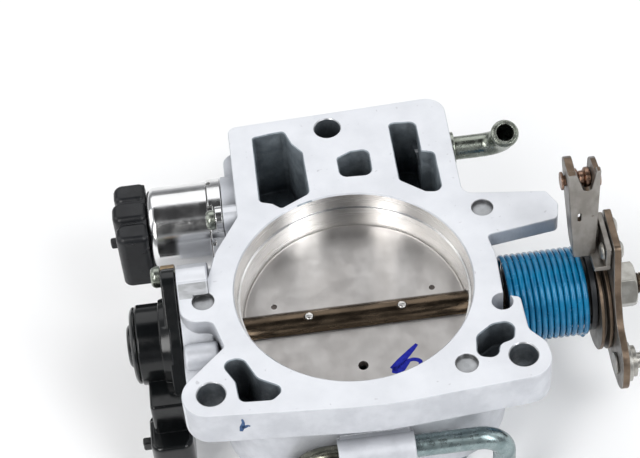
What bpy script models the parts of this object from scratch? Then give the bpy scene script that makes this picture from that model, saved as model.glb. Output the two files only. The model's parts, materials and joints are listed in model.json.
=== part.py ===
"""Throttle body for a petrol engine: casting, butterfly valve, cable lever, idle valve and position sensor.

Every named size is in millimetres, in the bore frame: the bore axis is +Z, the flange face is z = 0,
the throttle shaft runs along X towards the lever, and the ported side of the flange is at +Y.
The assembly empty lifts that frame so that the inlet neck stands on z = 0 of the world.
"""
import math

import bmesh
import bpy
from mathutils import Matrix, Vector

MM = 0.001
GAP = 0.3                    # clearance between two pieces that touch on the real object

# driving sizes
BORE_R = 37.5                # throttle bore
MOUTH_R = 39.0               # counterbore at the flange face
FLANGE_T = 14.0              # thickness of the machined flange
BODY_H = 64.0                # flange face to the end of the inlet neck
SHAFT_Z = -18.5              # shaft axis below the flange face
SHAFT_R = 4.75
PLATE_T = 2.4
PLATE_TILT = math.radians(5.0)
LEVER_X = 83.3               # inner face of the lever plate
SENSOR_X = -57.5             # machined face that carries the position sensor
IDLE_X = -40.0               # machined face that carries the idle valve
IDLE_Y = 51.0
IDLE_Z = -20.0
BORE_FROM_CENTRE = (-9.4, -12.3)   # bore axis from the centre of the whole part's box

# places shared by several pieces
BOLT_PLACES = ((-0.6, 70.8), (-49.3, -37.2), (49.3, -37.0))
BOLT_HOLE_R = 4.5
RECESS_PLACES = ((-49.2, 0.3), (46.6, 25.6), (31.2, -37.6))
PLATE_SCREW_X = (-15.5, 15.5)
SENSOR_EAR = (11.4, 11.4)          # from the shaft axis to a sensor screw, along y and z
IDLE_EAR = (-12.1, 15.3)          # from the idle valve axis to one of its screws
STOP_SCREW_X = 60.0
STOP_SCREW_Z = -39.8
PIPE_Y = -49.5
PIPE_Z = -24.5
NIPPLE_Y = 64.0
NIPPLE_Z = -11.0
STUD_Y = -24.0
STUD_Z = -28.8
RIVET_PLACES = ((-5.0, 6.5), (5.0, 6.5))
CAM_DROP = 4.0                     # the cam's centre lies this far below the shaft axis


def clear_scene():
    """Remove the objects that the file starts with."""
    for leftover in list(bpy.data.objects):
        bpy.data.objects.remove(leftover, do_unlink=True)


# outlines

def rounded(corners, arc_step=24.0):
    """Turn corners (x, y, radius) into an outline whose corners are arcs."""
    outline = []
    count = len(corners)
    for index, (x, y, radius) in enumerate(corners):
        here = Vector((x, y))
        before = Vector(corners[index - 1][:2]) - here
        after = Vector(corners[(index + 1) % count][:2]) - here
        if radius <= 0.0:
            outline.append((x, y))
            continue
        before.normalize()
        after.normalize()
        half = before.angle(after) / 2.0
        centre = here + (before + after).normalized() * radius / math.sin(half)
        start = here + before * radius / math.tan(half) - centre
        end = here + after * radius / math.tan(half) - centre
        sweep = start.angle_signed(end)
        pieces = max(1, math.ceil(math.degrees(abs(sweep)) / arc_step))
        for step in range(pieces + 1):
            spoke = start.copy()
            spoke.rotate(Matrix.Rotation(-sweep * step / pieces, 2))
            outline.append(tuple(centre + spoke))
    return outline


def circle(x, y, radius, steps=20):
    """Points around a circle."""
    turn = 2.0 * math.pi / steps
    return [(x + radius * math.cos(turn * i), y + radius * math.sin(turn * i)) for i in range(steps)]


# solids, each a bmesh in the bore frame, in millimetres

def prism(outline, low, high, along="Z"):
    """Extrude an outline. The outline's plane is XY, YZ or XZ, across the given axis."""
    place = {
        "Z": lambda a, b, c: (a, b, c),
        "X": lambda a, b, c: (c, a, b),
        "Y": lambda a, b, c: (a, c, b),
    }[along]
    solid = bmesh.new()
    bottom = [solid.verts.new(place(a, b, low)) for a, b in outline]
    top = [solid.verts.new(place(a, b, high)) for a, b in outline]
    solid.faces.new(bottom)
    solid.faces.new(top)
    for index in range(len(outline)):
        after = (index + 1) % len(outline)
        solid.faces.new((bottom[index], bottom[after], top[after], top[index]))
    bmesh.ops.recalc_face_normals(solid, faces=solid.faces)
    return solid


def box(low, high):
    """A block between two corners."""
    outline = [(low[0], low[1]), (high[0], low[1]), (high[0], high[1]), (low[0], high[1])]
    return prism(outline, low[2], high[2])


def turned(profile, centre=(0.0, 0.0), along="X", steps=24):
    """Turn a profile of (place on the axis, radius). A profile that starts and ends at radius 0 is solid."""
    solid = bmesh.new()
    filled = profile[0][1] <= 0.0
    rings = []
    for index, (place, radius) in enumerate(profile):
        flat_end = radius <= 0.0 and place == profile[1 if index == 0 else -2][0]
        if flat_end:
            continue
        ring_points = []
        for i in range(steps if radius > 0.0 else 1):
            angle = 2.0 * math.pi * i / steps
            a = centre[0] + radius * math.cos(angle)
            b = centre[1] + radius * math.sin(angle)
            point = {"X": (place, a, b), "Y": (a, place, b), "Z": (a, b, place)}[along]
            ring_points.append(solid.verts.new(point))
        rings.append(ring_points)
    pairs = list(zip(rings, rings[1:]))
    if filled:
        for end in (rings[0], rings[-1]):
            if len(end) > 1:
                solid.faces.new(end)
    else:
        pairs.append((rings[-1], rings[0]))
    for one, other in pairs:
        for i in range(steps):
            after = (i + 1) % steps
            corners = [one[i % len(one)], one[after % len(one)]]
            corners += [other[after % len(other)], other[i % len(other)]]
            solid.faces.new(list(dict.fromkeys(corners)))
    bmesh.ops.recalc_face_normals(solid, faces=solid.faces)
    return solid


def rod(start, end, radius, centre=(0.0, 0.0), along="X", steps=18):
    """A plain cylinder."""
    return turned([(start, 0.0), (start, radius), (end, radius), (end, 0.0)], centre, along, steps)


def ring(start, end, inner, outer, centre=(0.0, 0.0), along="X", steps=24):
    """A plain sleeve."""
    return turned([(start, inner), (start, outer), (end, outer), (end, inner)], centre, along, steps)


def swept(path, radius, sides=12, bore=0.0):
    """Sweep a round section along a path, as a rod, or as a tube when it has a bore."""
    solid = bmesh.new()
    points = [Vector(point) for point in path]
    side = None
    outer_rings = []
    inner_rings = []
    for index, point in enumerate(points):
        ahead = points[min(index + 1, len(points) - 1)] - points[max(index - 1, 0)]
        ahead.normalize()
        if side is None:
            side = ahead.orthogonal()
        side = (side - ahead * side.dot(ahead)).normalized()
        up = ahead.cross(side)
        spokes = []
        for i in range(sides):
            angle = 2.0 * math.pi * i / sides
            spokes.append(side * math.cos(angle) + up * math.sin(angle))
        outer_rings.append([solid.verts.new(point + spoke * radius) for spoke in spokes])
        if bore > 0.0:
            inner_rings.append([solid.verts.new(point + spoke * bore) for spoke in spokes])
    for rings in (outer_rings, inner_rings):
        for one, other in zip(rings, rings[1:]):
            for i in range(sides):
                after = (i + 1) % sides
                solid.faces.new((one[i], one[after], other[after], other[i]))
    for end in (0, -1):
        if bore <= 0.0:
            solid.faces.new(outer_rings[end])
            continue
        for i in range(sides):
            after = (i + 1) % sides
            one = outer_rings[end]
            other = inner_rings[end]
            solid.faces.new((one[i], one[after], other[after], other[i]))
    bmesh.ops.recalc_face_normals(solid, faces=solid.faces)
    return solid


def bend(start, corner, end, radius, steps=6):
    """A path from start to end with a round bend at the corner."""
    start = Vector(start)
    corner = Vector(corner)
    end = Vector(end)
    back = (start - corner).normalized()
    ahead = (end - corner).normalized()
    half = back.angle(ahead) / 2.0
    centre = corner + (back + ahead).normalized() * radius / math.sin(half)
    first = corner + back * radius / math.tan(half) - centre
    last = corner + ahead * radius / math.tan(half) - centre
    path = [start]
    for step in range(steps + 1):
        path.append(centre + first.slerp(last, step / steps).normalized() * radius)
    path.append(end)
    return path


def coil(start, end, radius, turns, first_angle, centre, steps=15):
    """Points along a helix about a line parallel to X."""
    count = round(turns * steps)
    path = []
    for i in range(count + 1):
        angle = first_angle + 2.0 * math.pi * turns * i / count
        along = start + (end - start) * i / count
        path.append((along, centre[0] + radius * math.cos(angle), centre[1] + radius * math.sin(angle)))
    return path


def hexagon(x, y, flats):
    """A hexagon by its width across flats."""
    return circle(x, y, flats / math.sqrt(3.0), 6)


def loft(first, second):
    """A solid between two matching loops of points."""
    solid = bmesh.new()
    one = [solid.verts.new(point) for point in first]
    other = [solid.verts.new(point) for point in second]
    solid.faces.new(one)
    solid.faces.new(other)
    for index in range(len(one)):
        after = (index + 1) % len(one)
        solid.faces.new((one[index], one[after], other[after], other[index]))
    bmesh.ops.recalc_face_normals(solid, faces=solid.faces)
    return solid


def spun(solid, angle):
    """Turn a solid about the shaft axis."""
    axis = Vector((0.0, 0.0, SHAFT_Z))
    bmesh.ops.rotate(solid, cent=axis, matrix=Matrix.Rotation(angle, 3, "X"), verts=solid.verts)
    return solid


# objects

def finish(name, colour, roughness, metallic):
    """A plain Principled material."""
    material = bpy.data.materials.new(name)
    material.use_nodes = True
    shader = material.node_tree.nodes["Principled BSDF"]
    shader.inputs["Base Color"].default_value = (*colour, 1.0)
    shader.inputs["Roughness"].default_value = roughness
    shader.inputs["Metallic"].default_value = metallic
    return material


def holder(name, place, parent=None):
    """An empty that pieces hang from, at a place in the bore frame."""
    empty = bpy.data.objects.new(name, None)
    empty.location = Vector(place) * MM
    empty.parent = parent
    bpy.context.collection.objects.link(empty)
    return empty


def boolean(target, tool, operation):
    """Cut a tool out of an object, or weld it on, and keep the result as the object's mesh."""
    mesh = bpy.data.meshes.new("tool")
    tool.to_mesh(mesh)
    tool.free()
    helper = bpy.data.objects.new("tool", mesh)
    bpy.context.collection.objects.link(helper)
    modifier = target.modifiers.new("boolean", "BOOLEAN")
    modifier.operation = operation
    modifier.solver = "EXACT"
    modifier.object = helper
    bpy.context.view_layer.update()
    graph = bpy.context.evaluated_depsgraph_get()
    result = bpy.data.meshes.new_from_object(target.evaluated_get(graph))
    target.modifiers.remove(modifier)
    old = target.data
    target.data = result
    bpy.data.meshes.remove(old)
    bpy.data.objects.remove(helper, do_unlink=True)
    bpy.data.meshes.remove(mesh)


def piece(name, solid, material, parent, add=(), cut=(), keep=(), sharp=35.0):
    """Make a named object from a solid: weld some on, cut some away, and keep what lies inside others."""
    mesh = bpy.data.meshes.new(name)
    solid.to_mesh(mesh)
    solid.free()
    part = bpy.data.objects.new(name, mesh)
    bpy.context.collection.objects.link(part)
    for tool in add:
        boolean(part, tool, "UNION")
    for tool in cut:
        boolean(part, tool, "DIFFERENCE")
    for tool in keep:
        boolean(part, tool, "INTERSECT")
    tidy = bmesh.new()
    tidy.from_mesh(part.data)
    bmesh.ops.remove_doubles(tidy, verts=tidy.verts, dist=0.004)
    bmesh.ops.triangulate(tidy, faces=tidy.faces)
    tidy.to_mesh(part.data)
    tidy.free()
    offset = Vector(parent.location) / MM if parent.parent else Vector()
    part.data.transform(Matrix.Scale(MM, 4) @ Matrix.Translation(-offset))
    part.data.name = name
    part.data.materials.clear()
    part.data.materials.append(material)
    part.data.shade_smooth()
    part.data.set_sharp_from_angle(angle=math.radians(sharp))
    part.parent = parent
    return part


def numbered(name, solids, material, parent):
    """Identical fasteners, each its own object."""
    for index, solid in enumerate(solids, start=1):
        piece(f"{name}_{index}", solid, material, parent)


# casting

def flange_outline():
    """The machined flange with its bolt bosses, ears and the cast arm."""
    return rounded([
        (-69.8, -44.4, 8.6), (3.5, -49.9, 120.0), (58.6, -45.6, 8.3), (57.6, -33.2, 5.5),
        (52.7, -27.2, 4.0), (52.4, -14.0, 1.6), (47.2, -12.2, 0.8), (47.7, 4.0, 20.0), (46.2, 13.4, 1.6),
        (70.6, 16.9, 2.4), (71.9, 23.4, 3.0), (68.8, 29.5, 1.5), (41.2, 33.2, 4.0), (41.2, 79.7, 7.0),
        (-35.3, 76.7, 3.0), (-35.2, 34.8, 2.5), (-43.6, 20.6, 14.0), (-47.5, 8.6, 3.0),
        (-57.4, 6.7, 6.4), (-57.0, -7.4, 6.4), (-46.8, -8.4, 3.0), (-43.8, -19.3, 1.6),
    ])


def port_outlines():
    """The five ports in the flange face with their depths."""
    large = rounded([
        (-26.9, 70.3, 1.0), (-21.0, 71.2, 3.0), (-16.0, 71.6, 1.5), (-14.0, 65.5, 2.0), (-10.6, 60.6, 2.0),
        (-10.1, 41.6, 2.2), (-20.0, 36.4, 1.2), (-22.8, 38.9, 1.2), (-27.0, 40.4, 1.6),
    ])
    middle = rounded([
        (1.2, 55.9, 1.2), (6.0, 58.2, 2.0), (12.2, 58.4, 2.4), (12.2, 46.6, 2.6), (1.4, 47.2, 2.6),
    ])
    stepped = rounded([
        (20.9, 69.4, 1.6), (30.0, 68.6, 2.6), (30.1, 54.6, 0.8), (34.4, 53.2, 1.8), (34.6, 35.0, 2.6),
        (29.0, 36.2, 1.5), (21.1, 42.6, 1.6),
    ])
    left_kidney = rounded([
        (-45.4, -25.6, 2.4), (-38.6, -24.4, 3.4), (-34.6, -33.4, 5.0), (-26.2, -38.4, 2.2),
        (-30.4, -42.1, 2.4), (-40.6, -41.4, 2.4), (-41.2, -33.6, 3.0),
    ])
    right_kidney = rounded([
        (36.0, -27.6, 2.8), (41.6, -23.6, 4.0), (48.8, -23.2, 3.0), (47.4, -30.2, 2.4),
        (42.6, -31.6, 3.0), (41.2, -36.8, 2.6), (35.0, -35.2, 2.6),
    ])
    return ((large, 30.0), (middle, 22.0), (stepped, 26.0), (left_kidney, 21.0), (right_kidney, 11.5))


def sensor_outline():
    """The oval flange of the position sensor, in the YZ plane."""
    y, z = SENSOR_EAR
    reach = 1.52
    wide = 10.6
    ear = 6.6
    corners = []
    for side in (1, -1):
        corners += [
            (side * (y * reach - ear), SHAFT_Z + side * (z * reach + ear), ear),
            (side * (y * reach + ear), SHAFT_Z + side * (z * reach - ear), ear),
            (side * wide, SHAFT_Z - side * wide, wide * 0.8),
        ]
    return rounded(corners)


def idle_ears(radius, start, end):
    """The two screw ears of the idle valve's flange."""
    y, z = IDLE_EAR
    return [rod(start, end, radius, (IDLE_Y + y * side, IDLE_Z + z * side)) for side in (1, -1)]


def ear_holes(places, start, end, radius):
    """Screw holes along X."""
    return [rod(start, end, radius, place, steps=16) for place in places]


def sensor_screw_places():
    return [(SENSOR_EAR[0] * side, SHAFT_Z + SENSOR_EAR[1] * side) for side in (1.35, -1.35)]


def idle_screw_places():
    return [(IDLE_Y + IDLE_EAR[0] * side, IDLE_Z + IDLE_EAR[1] * side) for side in (1, -1)]


def throttle_housing(metal, assembly):
    """The aluminium casting with its bore, ports, pads and neck."""
    main_body = rounded([(-48.0, -45.3, 24.0), (46.4, -45.3, 24.0), (46.4, 36.0, 14.0), (-46.0, 33.0, 10.0)])
    port_box = rounded([(-38.4, 30.0, 2.0), (39.6, 30.0, 2.0), (39.6, 77.2, 8.0), (-38.4, 75.4, 5.0)])
    sensor_boss = rounded([(-24.0, -38.5, 6.0), (24.0, -38.5, 8.0), (24.0, -9.6, 4.0), (-24.0, -9.6, 6.0)])
    neck = [
        (-40.0, 0.0), (-40.0, 44.5), (-57.0, 43.2), (-58.4, 45.0), (-62.2, 45.0), (-BODY_H, 43.4),
        (-BODY_H, 0.0),
    ]
    welded = [
        prism(main_body, -43.0, -12.0),
        prism(port_box, -36.0, -12.0),
        turned(neck, along="Z", steps=48),
        prism(sensor_boss, SENSOR_X, -40.0, "X"),
        prism(sensor_outline(), SENSOR_X + 0.2, -47.0, "X"),
        rod(IDLE_X, -32.0, 15.6, (IDLE_Y, IDLE_Z), steps=28),
        rod(-12.0, 12.6, 5.4, (PIPE_Y, PIPE_Z)),
        box((-11.0, PIPE_Y, PIPE_Z - 5.0), (11.6, -42.0, PIPE_Z + 4.6)),
        rod(40.0, 47.8, 11.0, (0.0, SHAFT_Z)),
        box((42.0, -3.8, -44.4), (64.4, 4.2, -35.6)),
    ]
    welded += idle_ears(4.4, IDLE_X, -34.0)
    bore = [
        (1.0, 0.0), (1.0, MOUTH_R + 1.6), (-0.6, MOUTH_R), (-5.4, MOUTH_R), (-6.2, BORE_R), (-44.0, BORE_R),
        (-BODY_H - 1.0, 39.6), (-BODY_H - 1.0, 0.0),
    ]
    shaft_bore = [
        (SENSOR_X - 1.0, 0.0), (SENSOR_X - 1.0, 8.3), (-44.0, 8.3), (-44.0, SHAFT_R + GAP),
        (39.8, SHAFT_R + GAP), (39.8, 8.3), (49.0, 8.3), (49.0, 0.0),
    ]
    idle_bore = [
        (IDLE_X - 1.0, 0.0), (IDLE_X - 1.0, 9.0), (-33.5, 9.0), (-33.5, 5.4), (-24.0, 5.4), (-24.0, 0.0),
    ]
    coolant_bore = [
        (-13.0, 0.0), (-13.0, 4.0), (-3.8, 4.0), (-3.8, 2.8), (4.4, 2.8), (4.4, 4.0), (14.0, 4.0),
        (14.0, 0.0),
    ]
    cuts = [turned(bore, along="Z", steps=64)]
    cuts += [prism(outline, -depth, 1.0) for outline, depth in port_outlines()]
    cuts += [rod(-44.0, 1.0, BOLT_HOLE_R, place, "Z") for place in BOLT_PLACES]
    cuts += [rod(-1.4, 1.0, 3.6, place, "Z") for place in RECESS_PLACES]
    cuts += [
        box((47.9, 12.0, -15.0), (75.0, 36.0, -6.2)),
        rod(-15.0, 1.0, 3.5, (46.4, -15.0), "Z"),
        rod(47.9, 60.0, 16.2, (0.0, SHAFT_Z), steps=32),
        turned(shaft_bore, (0.0, SHAFT_Z), steps=20),
        turned(idle_bore, (IDLE_Y, IDLE_Z)),
        turned(coolant_bore, (PIPE_Y, PIPE_Z), steps=18),
        rod(27.0, 42.0, 4.5, (NIPPLE_Y, NIPPLE_Z)),
        rod(-6.0, 6.0, 2.5, (STOP_SCREW_X, STOP_SCREW_Z), "Y"),
    ]
    cuts += ear_holes(sensor_screw_places(), SENSOR_X - 1.0, SENSOR_X + 9.0, 2.3)
    cuts += ear_holes(idle_screw_places(), IDLE_X - 1.0, IDLE_X + 5.0, 2.3)
    flange = prism(flange_outline(), -FLANGE_T, 0.0)
    return piece("throttle_housing", flange, metal, assembly, welded, cuts, sharp=30.0)


# butterfly valve

def throttle_shaft(metal, axle):
    """The slotted shaft with its sensor tang, lever flats and threaded end."""
    profile = [
        (-68.6, 0.0), (-68.6, 2.8), (-58.6, 3.0), (-58.6, SHAFT_R), (82.9, SHAFT_R), (82.9, 4.0),
        (93.8, 4.0), (94.2, 3.5), (97.8, 3.5), (98.6, 2.7), (98.6, 0.0),
    ]
    slot = box((-37.4, -6.0, SHAFT_Z - PLATE_T / 2.0 - GAP), (37.4, 6.0, SHAFT_Z + PLATE_T / 2.0 + GAP))
    cuts = [spun(slot, PLATE_TILT)]
    for x in PLATE_SCREW_X:
        cuts.append(spun(rod(SHAFT_Z - 6.0, SHAFT_Z + 6.0, 2.8, (x, 0.0), "Z"), PLATE_TILT))
        cuts.append(spun(rod(SHAFT_Z - 6.0, SHAFT_Z - 3.1, 4.3, (x, 0.0), "Z"), PLATE_TILT))
    for start, end, half in ((82.9, 87.0, 3.2), (-70.0, -60.2, 1.9)):
        cuts.append(box((start, half, -26.0), (end, 6.0, -11.0)))
        cuts.append(box((start, -6.0, -26.0), (end, -half, -11.0)))
    return piece("throttle_shaft", turned(profile, (0.0, SHAFT_Z)), metal, axle, (), cuts)


def throttle_plate(metal, axle):
    """The butterfly disc, whose rim stands parallel to the bore when it is shut."""
    radius = BORE_R - GAP
    half = PLATE_T / 2.0 / math.cos(PLATE_TILT)
    rim = circle(0.0, 0.0, radius, 60)
    lower = [(x, y, SHAFT_Z + y * math.tan(PLATE_TILT) - half) for x, y in rim]
    upper = [(x, y, SHAFT_Z + y * math.tan(PLATE_TILT) + half) for x, y in rim]
    holes = [rod(SHAFT_Z - 5.0, SHAFT_Z + 5.0, 2.8, (x, 0.0), "Z") for x in PLATE_SCREW_X]
    holes.append(rod(SHAFT_Z - 8.0, SHAFT_Z + 5.0, 1.7, (0.0, -19.4), "Z", 16))
    return piece("throttle_plate", loft(lower, upper), metal, axle, (), holes)


def plate_screws(metal, axle):
    """Two screws that clamp the plate, with their tips spread on the far side."""
    profile = [
        (-6.2, 0.0), (-6.2, 3.2), (-5.6, 4.0), (-3.4, 4.0), (-3.4, 2.5), (4.9, 2.5), (5.2, 2.0), (5.2, 0.0),
    ]
    raised = [(SHAFT_Z + place, radius) for place, radius in profile]
    screws = [spun(turned(raised, (x, 0.0), "Z", 20), PLATE_TILT) for x in PLATE_SCREW_X]
    numbered("plate_screw", screws, metal, axle)


def shaft_supports(steel, rubber, assembly):
    """Needle bearings and lip seals at both ends of the bore."""
    centre = (0.0, SHAFT_Z)
    inner = SHAFT_R + GAP
    piece("shaft_bearing_left", ring(-52.0, -44.3, inner, 8.0, centre), steel, assembly)
    piece("shaft_bearing_right", ring(40.1, 44.2, inner, 8.0, centre), steel, assembly)
    lip = [(0.0, inner + 1.2), (0.0, 8.0), (3.0, 8.0), (3.0, inner), (2.2, inner)]
    piece("shaft_seal_left", turned([(-52.4 - a, r) for a, r in lip], centre), rubber, assembly)
    piece("shaft_seal_right", turned([(44.6 + a, r) for a, r in lip], centre), rubber, assembly)


# lever end of the shaft

def return_spring(steel, axle):
    """The close-wound torsion spring with a leg in the flange pocket and a leg at the lever."""
    wire = 0.85
    mean = 14.05
    first = math.radians(170.0)
    turns = 12.9
    centre = (0.0, SHAFT_Z)
    path = coil(49.2, 75.2, mean, turns, first, centre)
    y, z = path[0][1:]
    leg = [
        (45.6, y - 0.6, z + 7.5), (46.4, y - 0.5, z + 6.0), (47.8, y - 0.3, z + 3.6), (48.8, y - 0.1, z + 1.6),
    ]
    last = first + 2.0 * math.pi * turns
    hook = []
    for step, (along, out) in enumerate(((75.5, 0.25), (75.6, 1.4), (75.6, 3.0))):
        angle = last + 0.09 * (step + 1)
        reach = mean + out
        hook.append((along, reach * math.cos(angle), SHAFT_Z + reach * math.sin(angle)))
    return piece("return_spring", swept(leg + path + hook, wire, 5), steel, axle, sharp=60.0)


def spring_sleeve(plastic, axle):
    """The black sleeve that guides the spring's coils."""
    inner = SHAFT_R + GAP
    profile = [
        (48.2, inner), (48.2, 10.8), (49.0, 11.6), (76.8, 11.6), (76.8, 13.6), (78.6, 13.6), (78.6, inner),
    ]
    return piece("spring_sleeve", turned(profile, (0.0, SHAFT_Z)), plastic, axle)


def lever_outline():
    """The lever plate: a hub disc with the cable arm above and the stud arm in front, in the YZ plane."""
    corners = [
        (-9.0, 30.0, 2.0), (9.0, 30.0, 2.0), (11.0, 16.0, 6.0), (18.5, 8.0, 8.0), (18.0, -12.0, 8.0),
        (13.0, -27.0, 4.0), (3.0, -27.0, 4.0), (0.0, -18.5, 4.0), (-20.0, -19.6, 7.6), (-33.4, -16.8, 7.8),
        (-31.6, -0.4, 7.6), (-19.0, 3.6, 8.0), (-13.0, 13.0, 8.0),
    ]
    return rounded([(y, z + SHAFT_Z, radius) for y, z, radius in corners])


def lever_plate(steel, axle):
    """The stamped lever with the tongue that meets the stop screw and the lip that holds the spring."""
    thick = 2.5
    tongue = box((57.0, 7.6, -44.4), (LEVER_X + 1.0, 9.8, -38.2))
    lip = loft(
        [(LEVER_X + 1.0, -29.0, -38.0), (LEVER_X + 1.0, -17.0, -38.0),
         (LEVER_X + 1.0, -17.0, -36.2), (LEVER_X + 1.0, -29.0, -36.2)],
        [(74.6, -20.0, -29.4), (74.6, -15.6, -29.4), (74.6, -15.6, -27.6), (74.6, -20.0, -27.6)],
    )
    hub = rod(80.0, 90.0, 4.3, (0.0, SHAFT_Z))
    stud_hole = rod(80.0, 90.0, 2.8, (STUD_Y, STUD_Z))
    rivet_holes = ear_holes(RIVET_PLACES, 80.0, 90.0, 1.9)
    plate = prism(lever_outline(), LEVER_X, LEVER_X + thick, "X")
    return piece("lever_plate", plate, steel, axle, (tongue, lip), [hub, stud_hole] + rivet_holes)


def cable_cam(steel, axle):
    """The grooved cam that the throttle cable wraps."""
    centre = (-1.0, SHAFT_Z - CAM_DROP)
    left = 79.2
    right = LEVER_X - GAP
    profile = [
        (left, 4.5), (left, 17.2), (left + 1.1, 17.2), (left + 1.5, 14.2),
        (right - 1.5, 14.2), (right - 1.1, 17.2), (right, 17.2), (right, 4.5),
    ]
    filled = [(left, 0.0)] + profile[1:-1] + [(right, 0.0)]
    hub = rod(70.0, 90.0, SHAFT_R + GAP, (0.0, SHAFT_Z))
    return piece("cable_cam", turned(filled, centre, steps=36), steel, axle, (), [hub])


def cable_anchor(steel, axle):
    """The folded channel that holds the cable's end, with a V notch for the cable."""
    low = 0.8
    high = 40.6
    step = 0.1
    right = LEVER_X - GAP
    web = rounded([
        (67.0, low, 1.0), (79.4, low, 0.0), (79.4, high + 0.9, 0.4), (78.2, high + 0.9, 0.3),
        (76.2, 27.0, 1.4), (71.8, high - 3.2, 0.8), (70.4, high, 1.0), (67.0, high, 1.4),
    ])
    cheek = [(-1.2, low + step, 0.0), (7.0, low + step, 3.0), (10.0, 20.0, 4.0)]
    left_cheek = rounded(cheek + [(10.0, high - step, 5.0), (-1.2, high - step, 0.0)])
    right_cheek = rounded(cheek + [(10.0, 38.0, 5.0), (-1.2, high - 2.0 * step, 0.0)])
    foot = box((77.6, -8.4, low - step), (right, 8.4, 2.6))
    tab = box((right - 2.0, -8.3, 1.2), (right - step, 8.3, 10.6))
    welded = [
        prism(left_cheek, 67.0 + step, 69.0, "X"),
        prism(right_cheek, 77.4, 79.4 - step, "X"),
        foot,
        tab,
    ]
    rivet_holes = ear_holes(RIVET_PLACES, 80.0, 90.0, 1.9)
    pin_hole = rod(60.0, 90.0, 2.0, (4.6, 32.0), steps=16)
    slot_outline = rounded([(71.2, 18.6, 0.5), (72.4, 18.6, 0.5), (72.4, 22.4, 0.5), (71.2, 22.4, 0.5)])
    slot = prism(slot_outline, -4.0, 3.0, "Y")
    channel = prism(web, -1.6, 0.4, "Y")
    return piece("cable_anchor", channel, steel, axle, welded, [pin_hole, slot] + rivet_holes)


def cable_pin(copper, axle):
    """The grooved roller that the cable's end sits on."""
    centre = (4.6, 32.0)
    profile = [
        (65.9, 0.0), (65.9, 2.9), (66.7, 2.9), (66.7, 1.7), (69.3, 1.7), (69.3, 3.6), (71.6, 3.6),
        (72.4, 2.6), (74.0, 2.6), (74.8, 3.6), (77.1, 3.6), (77.1, 1.7), (79.7, 1.7), (79.7, 2.9),
        (80.5, 2.9), (80.5, 0.0),
    ]
    return piece("cable_pin", turned(profile, centre, steps=16), copper, axle)


def lever_fasteners(steel, axle):
    """Rivets, washer, nut and the ball stud."""
    outer = LEVER_X + 2.5
    rivets = []
    for place in RIVET_PLACES:
        profile = [
            (79.8, 0.0), (79.8, 2.2), (80.7, 3.0), (80.7, 1.6), (outer + GAP, 1.6), (outer + GAP, 3.0),
            (outer + 1.4, 2.2), (outer + 1.4, 0.0),
        ]
        rivets.append(turned(profile, place, steps=16))
    numbered("anchor_rivet", rivets, steel, axle)
    piece("lever_washer", ring(outer + GAP, outer + 1.5, 4.4, 8.6, (0.0, SHAFT_Z)), steel, axle)
    nut = prism(hexagon(0.0, SHAFT_Z, 14.0), outer + 1.8, outer + 7.6, "X")
    crown = turned(
        [(outer + 1.0, 0.0), (outer + 1.0, 8.6), (outer + 7.0, 8.6), (outer + 7.9, 7.0), (outer + 7.9, 0.0)],
        (0.0, SHAFT_Z), steps=24,
    )
    shaft_hole = rod(outer, outer + 9.0, 4.3, (0.0, SHAFT_Z))
    piece("lever_nut", nut, steel, axle, (), [shaft_hole], [crown])
    stud = [
        (82.4, 0.0), (82.4, 3.6), (83.0, 3.6), (83.0, 2.5), (outer + GAP, 2.5), (outer + GAP, 6.6),
        (outer + 1.6, 6.6), (outer + 1.9, 5.2), (outer + 3.4, 5.2), (outer + 3.7, 2.6), (outer + 5.4, 2.6),
    ]
    ball_centre = 95.0
    ball_r = 4.6
    for step in range(9):
        angle = math.radians(145.0 - step * 145.0 / 8.0)
        stud.append((ball_centre + ball_r * math.cos(angle), ball_r * math.sin(angle) if step < 8 else 0.0))
    piece("ball_stud", turned(stud, (STUD_Y, STUD_Z), steps=18), steel, axle)


def stop_parts(steel, assembly):
    """The idle stop screw under the spring and its lock nut."""
    profile = [(-10.6, 0.0), (-10.6, 1.9), (-10.2, 2.2), (6.6, 2.2), (7.2, 1.6), (7.2, 0.0)]
    socket = prism(hexagon(STOP_SCREW_X, STOP_SCREW_Z, 2.1), -12.0, -8.6, "Y")
    screw = turned(profile, (STOP_SCREW_X, STOP_SCREW_Z), "Y", 20)
    piece("stop_screw", screw, steel, assembly, (), [socket])
    nut = prism(hexagon(STOP_SCREW_X, STOP_SCREW_Z, 7.0), -7.6, -4.1, "Y")
    hole = rod(-9.0, -3.0, 2.5, (STOP_SCREW_X, STOP_SCREW_Z), "Y")
    piece("stop_lock_nut", nut, steel, assembly, (), [hole])


# idle valve

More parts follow.
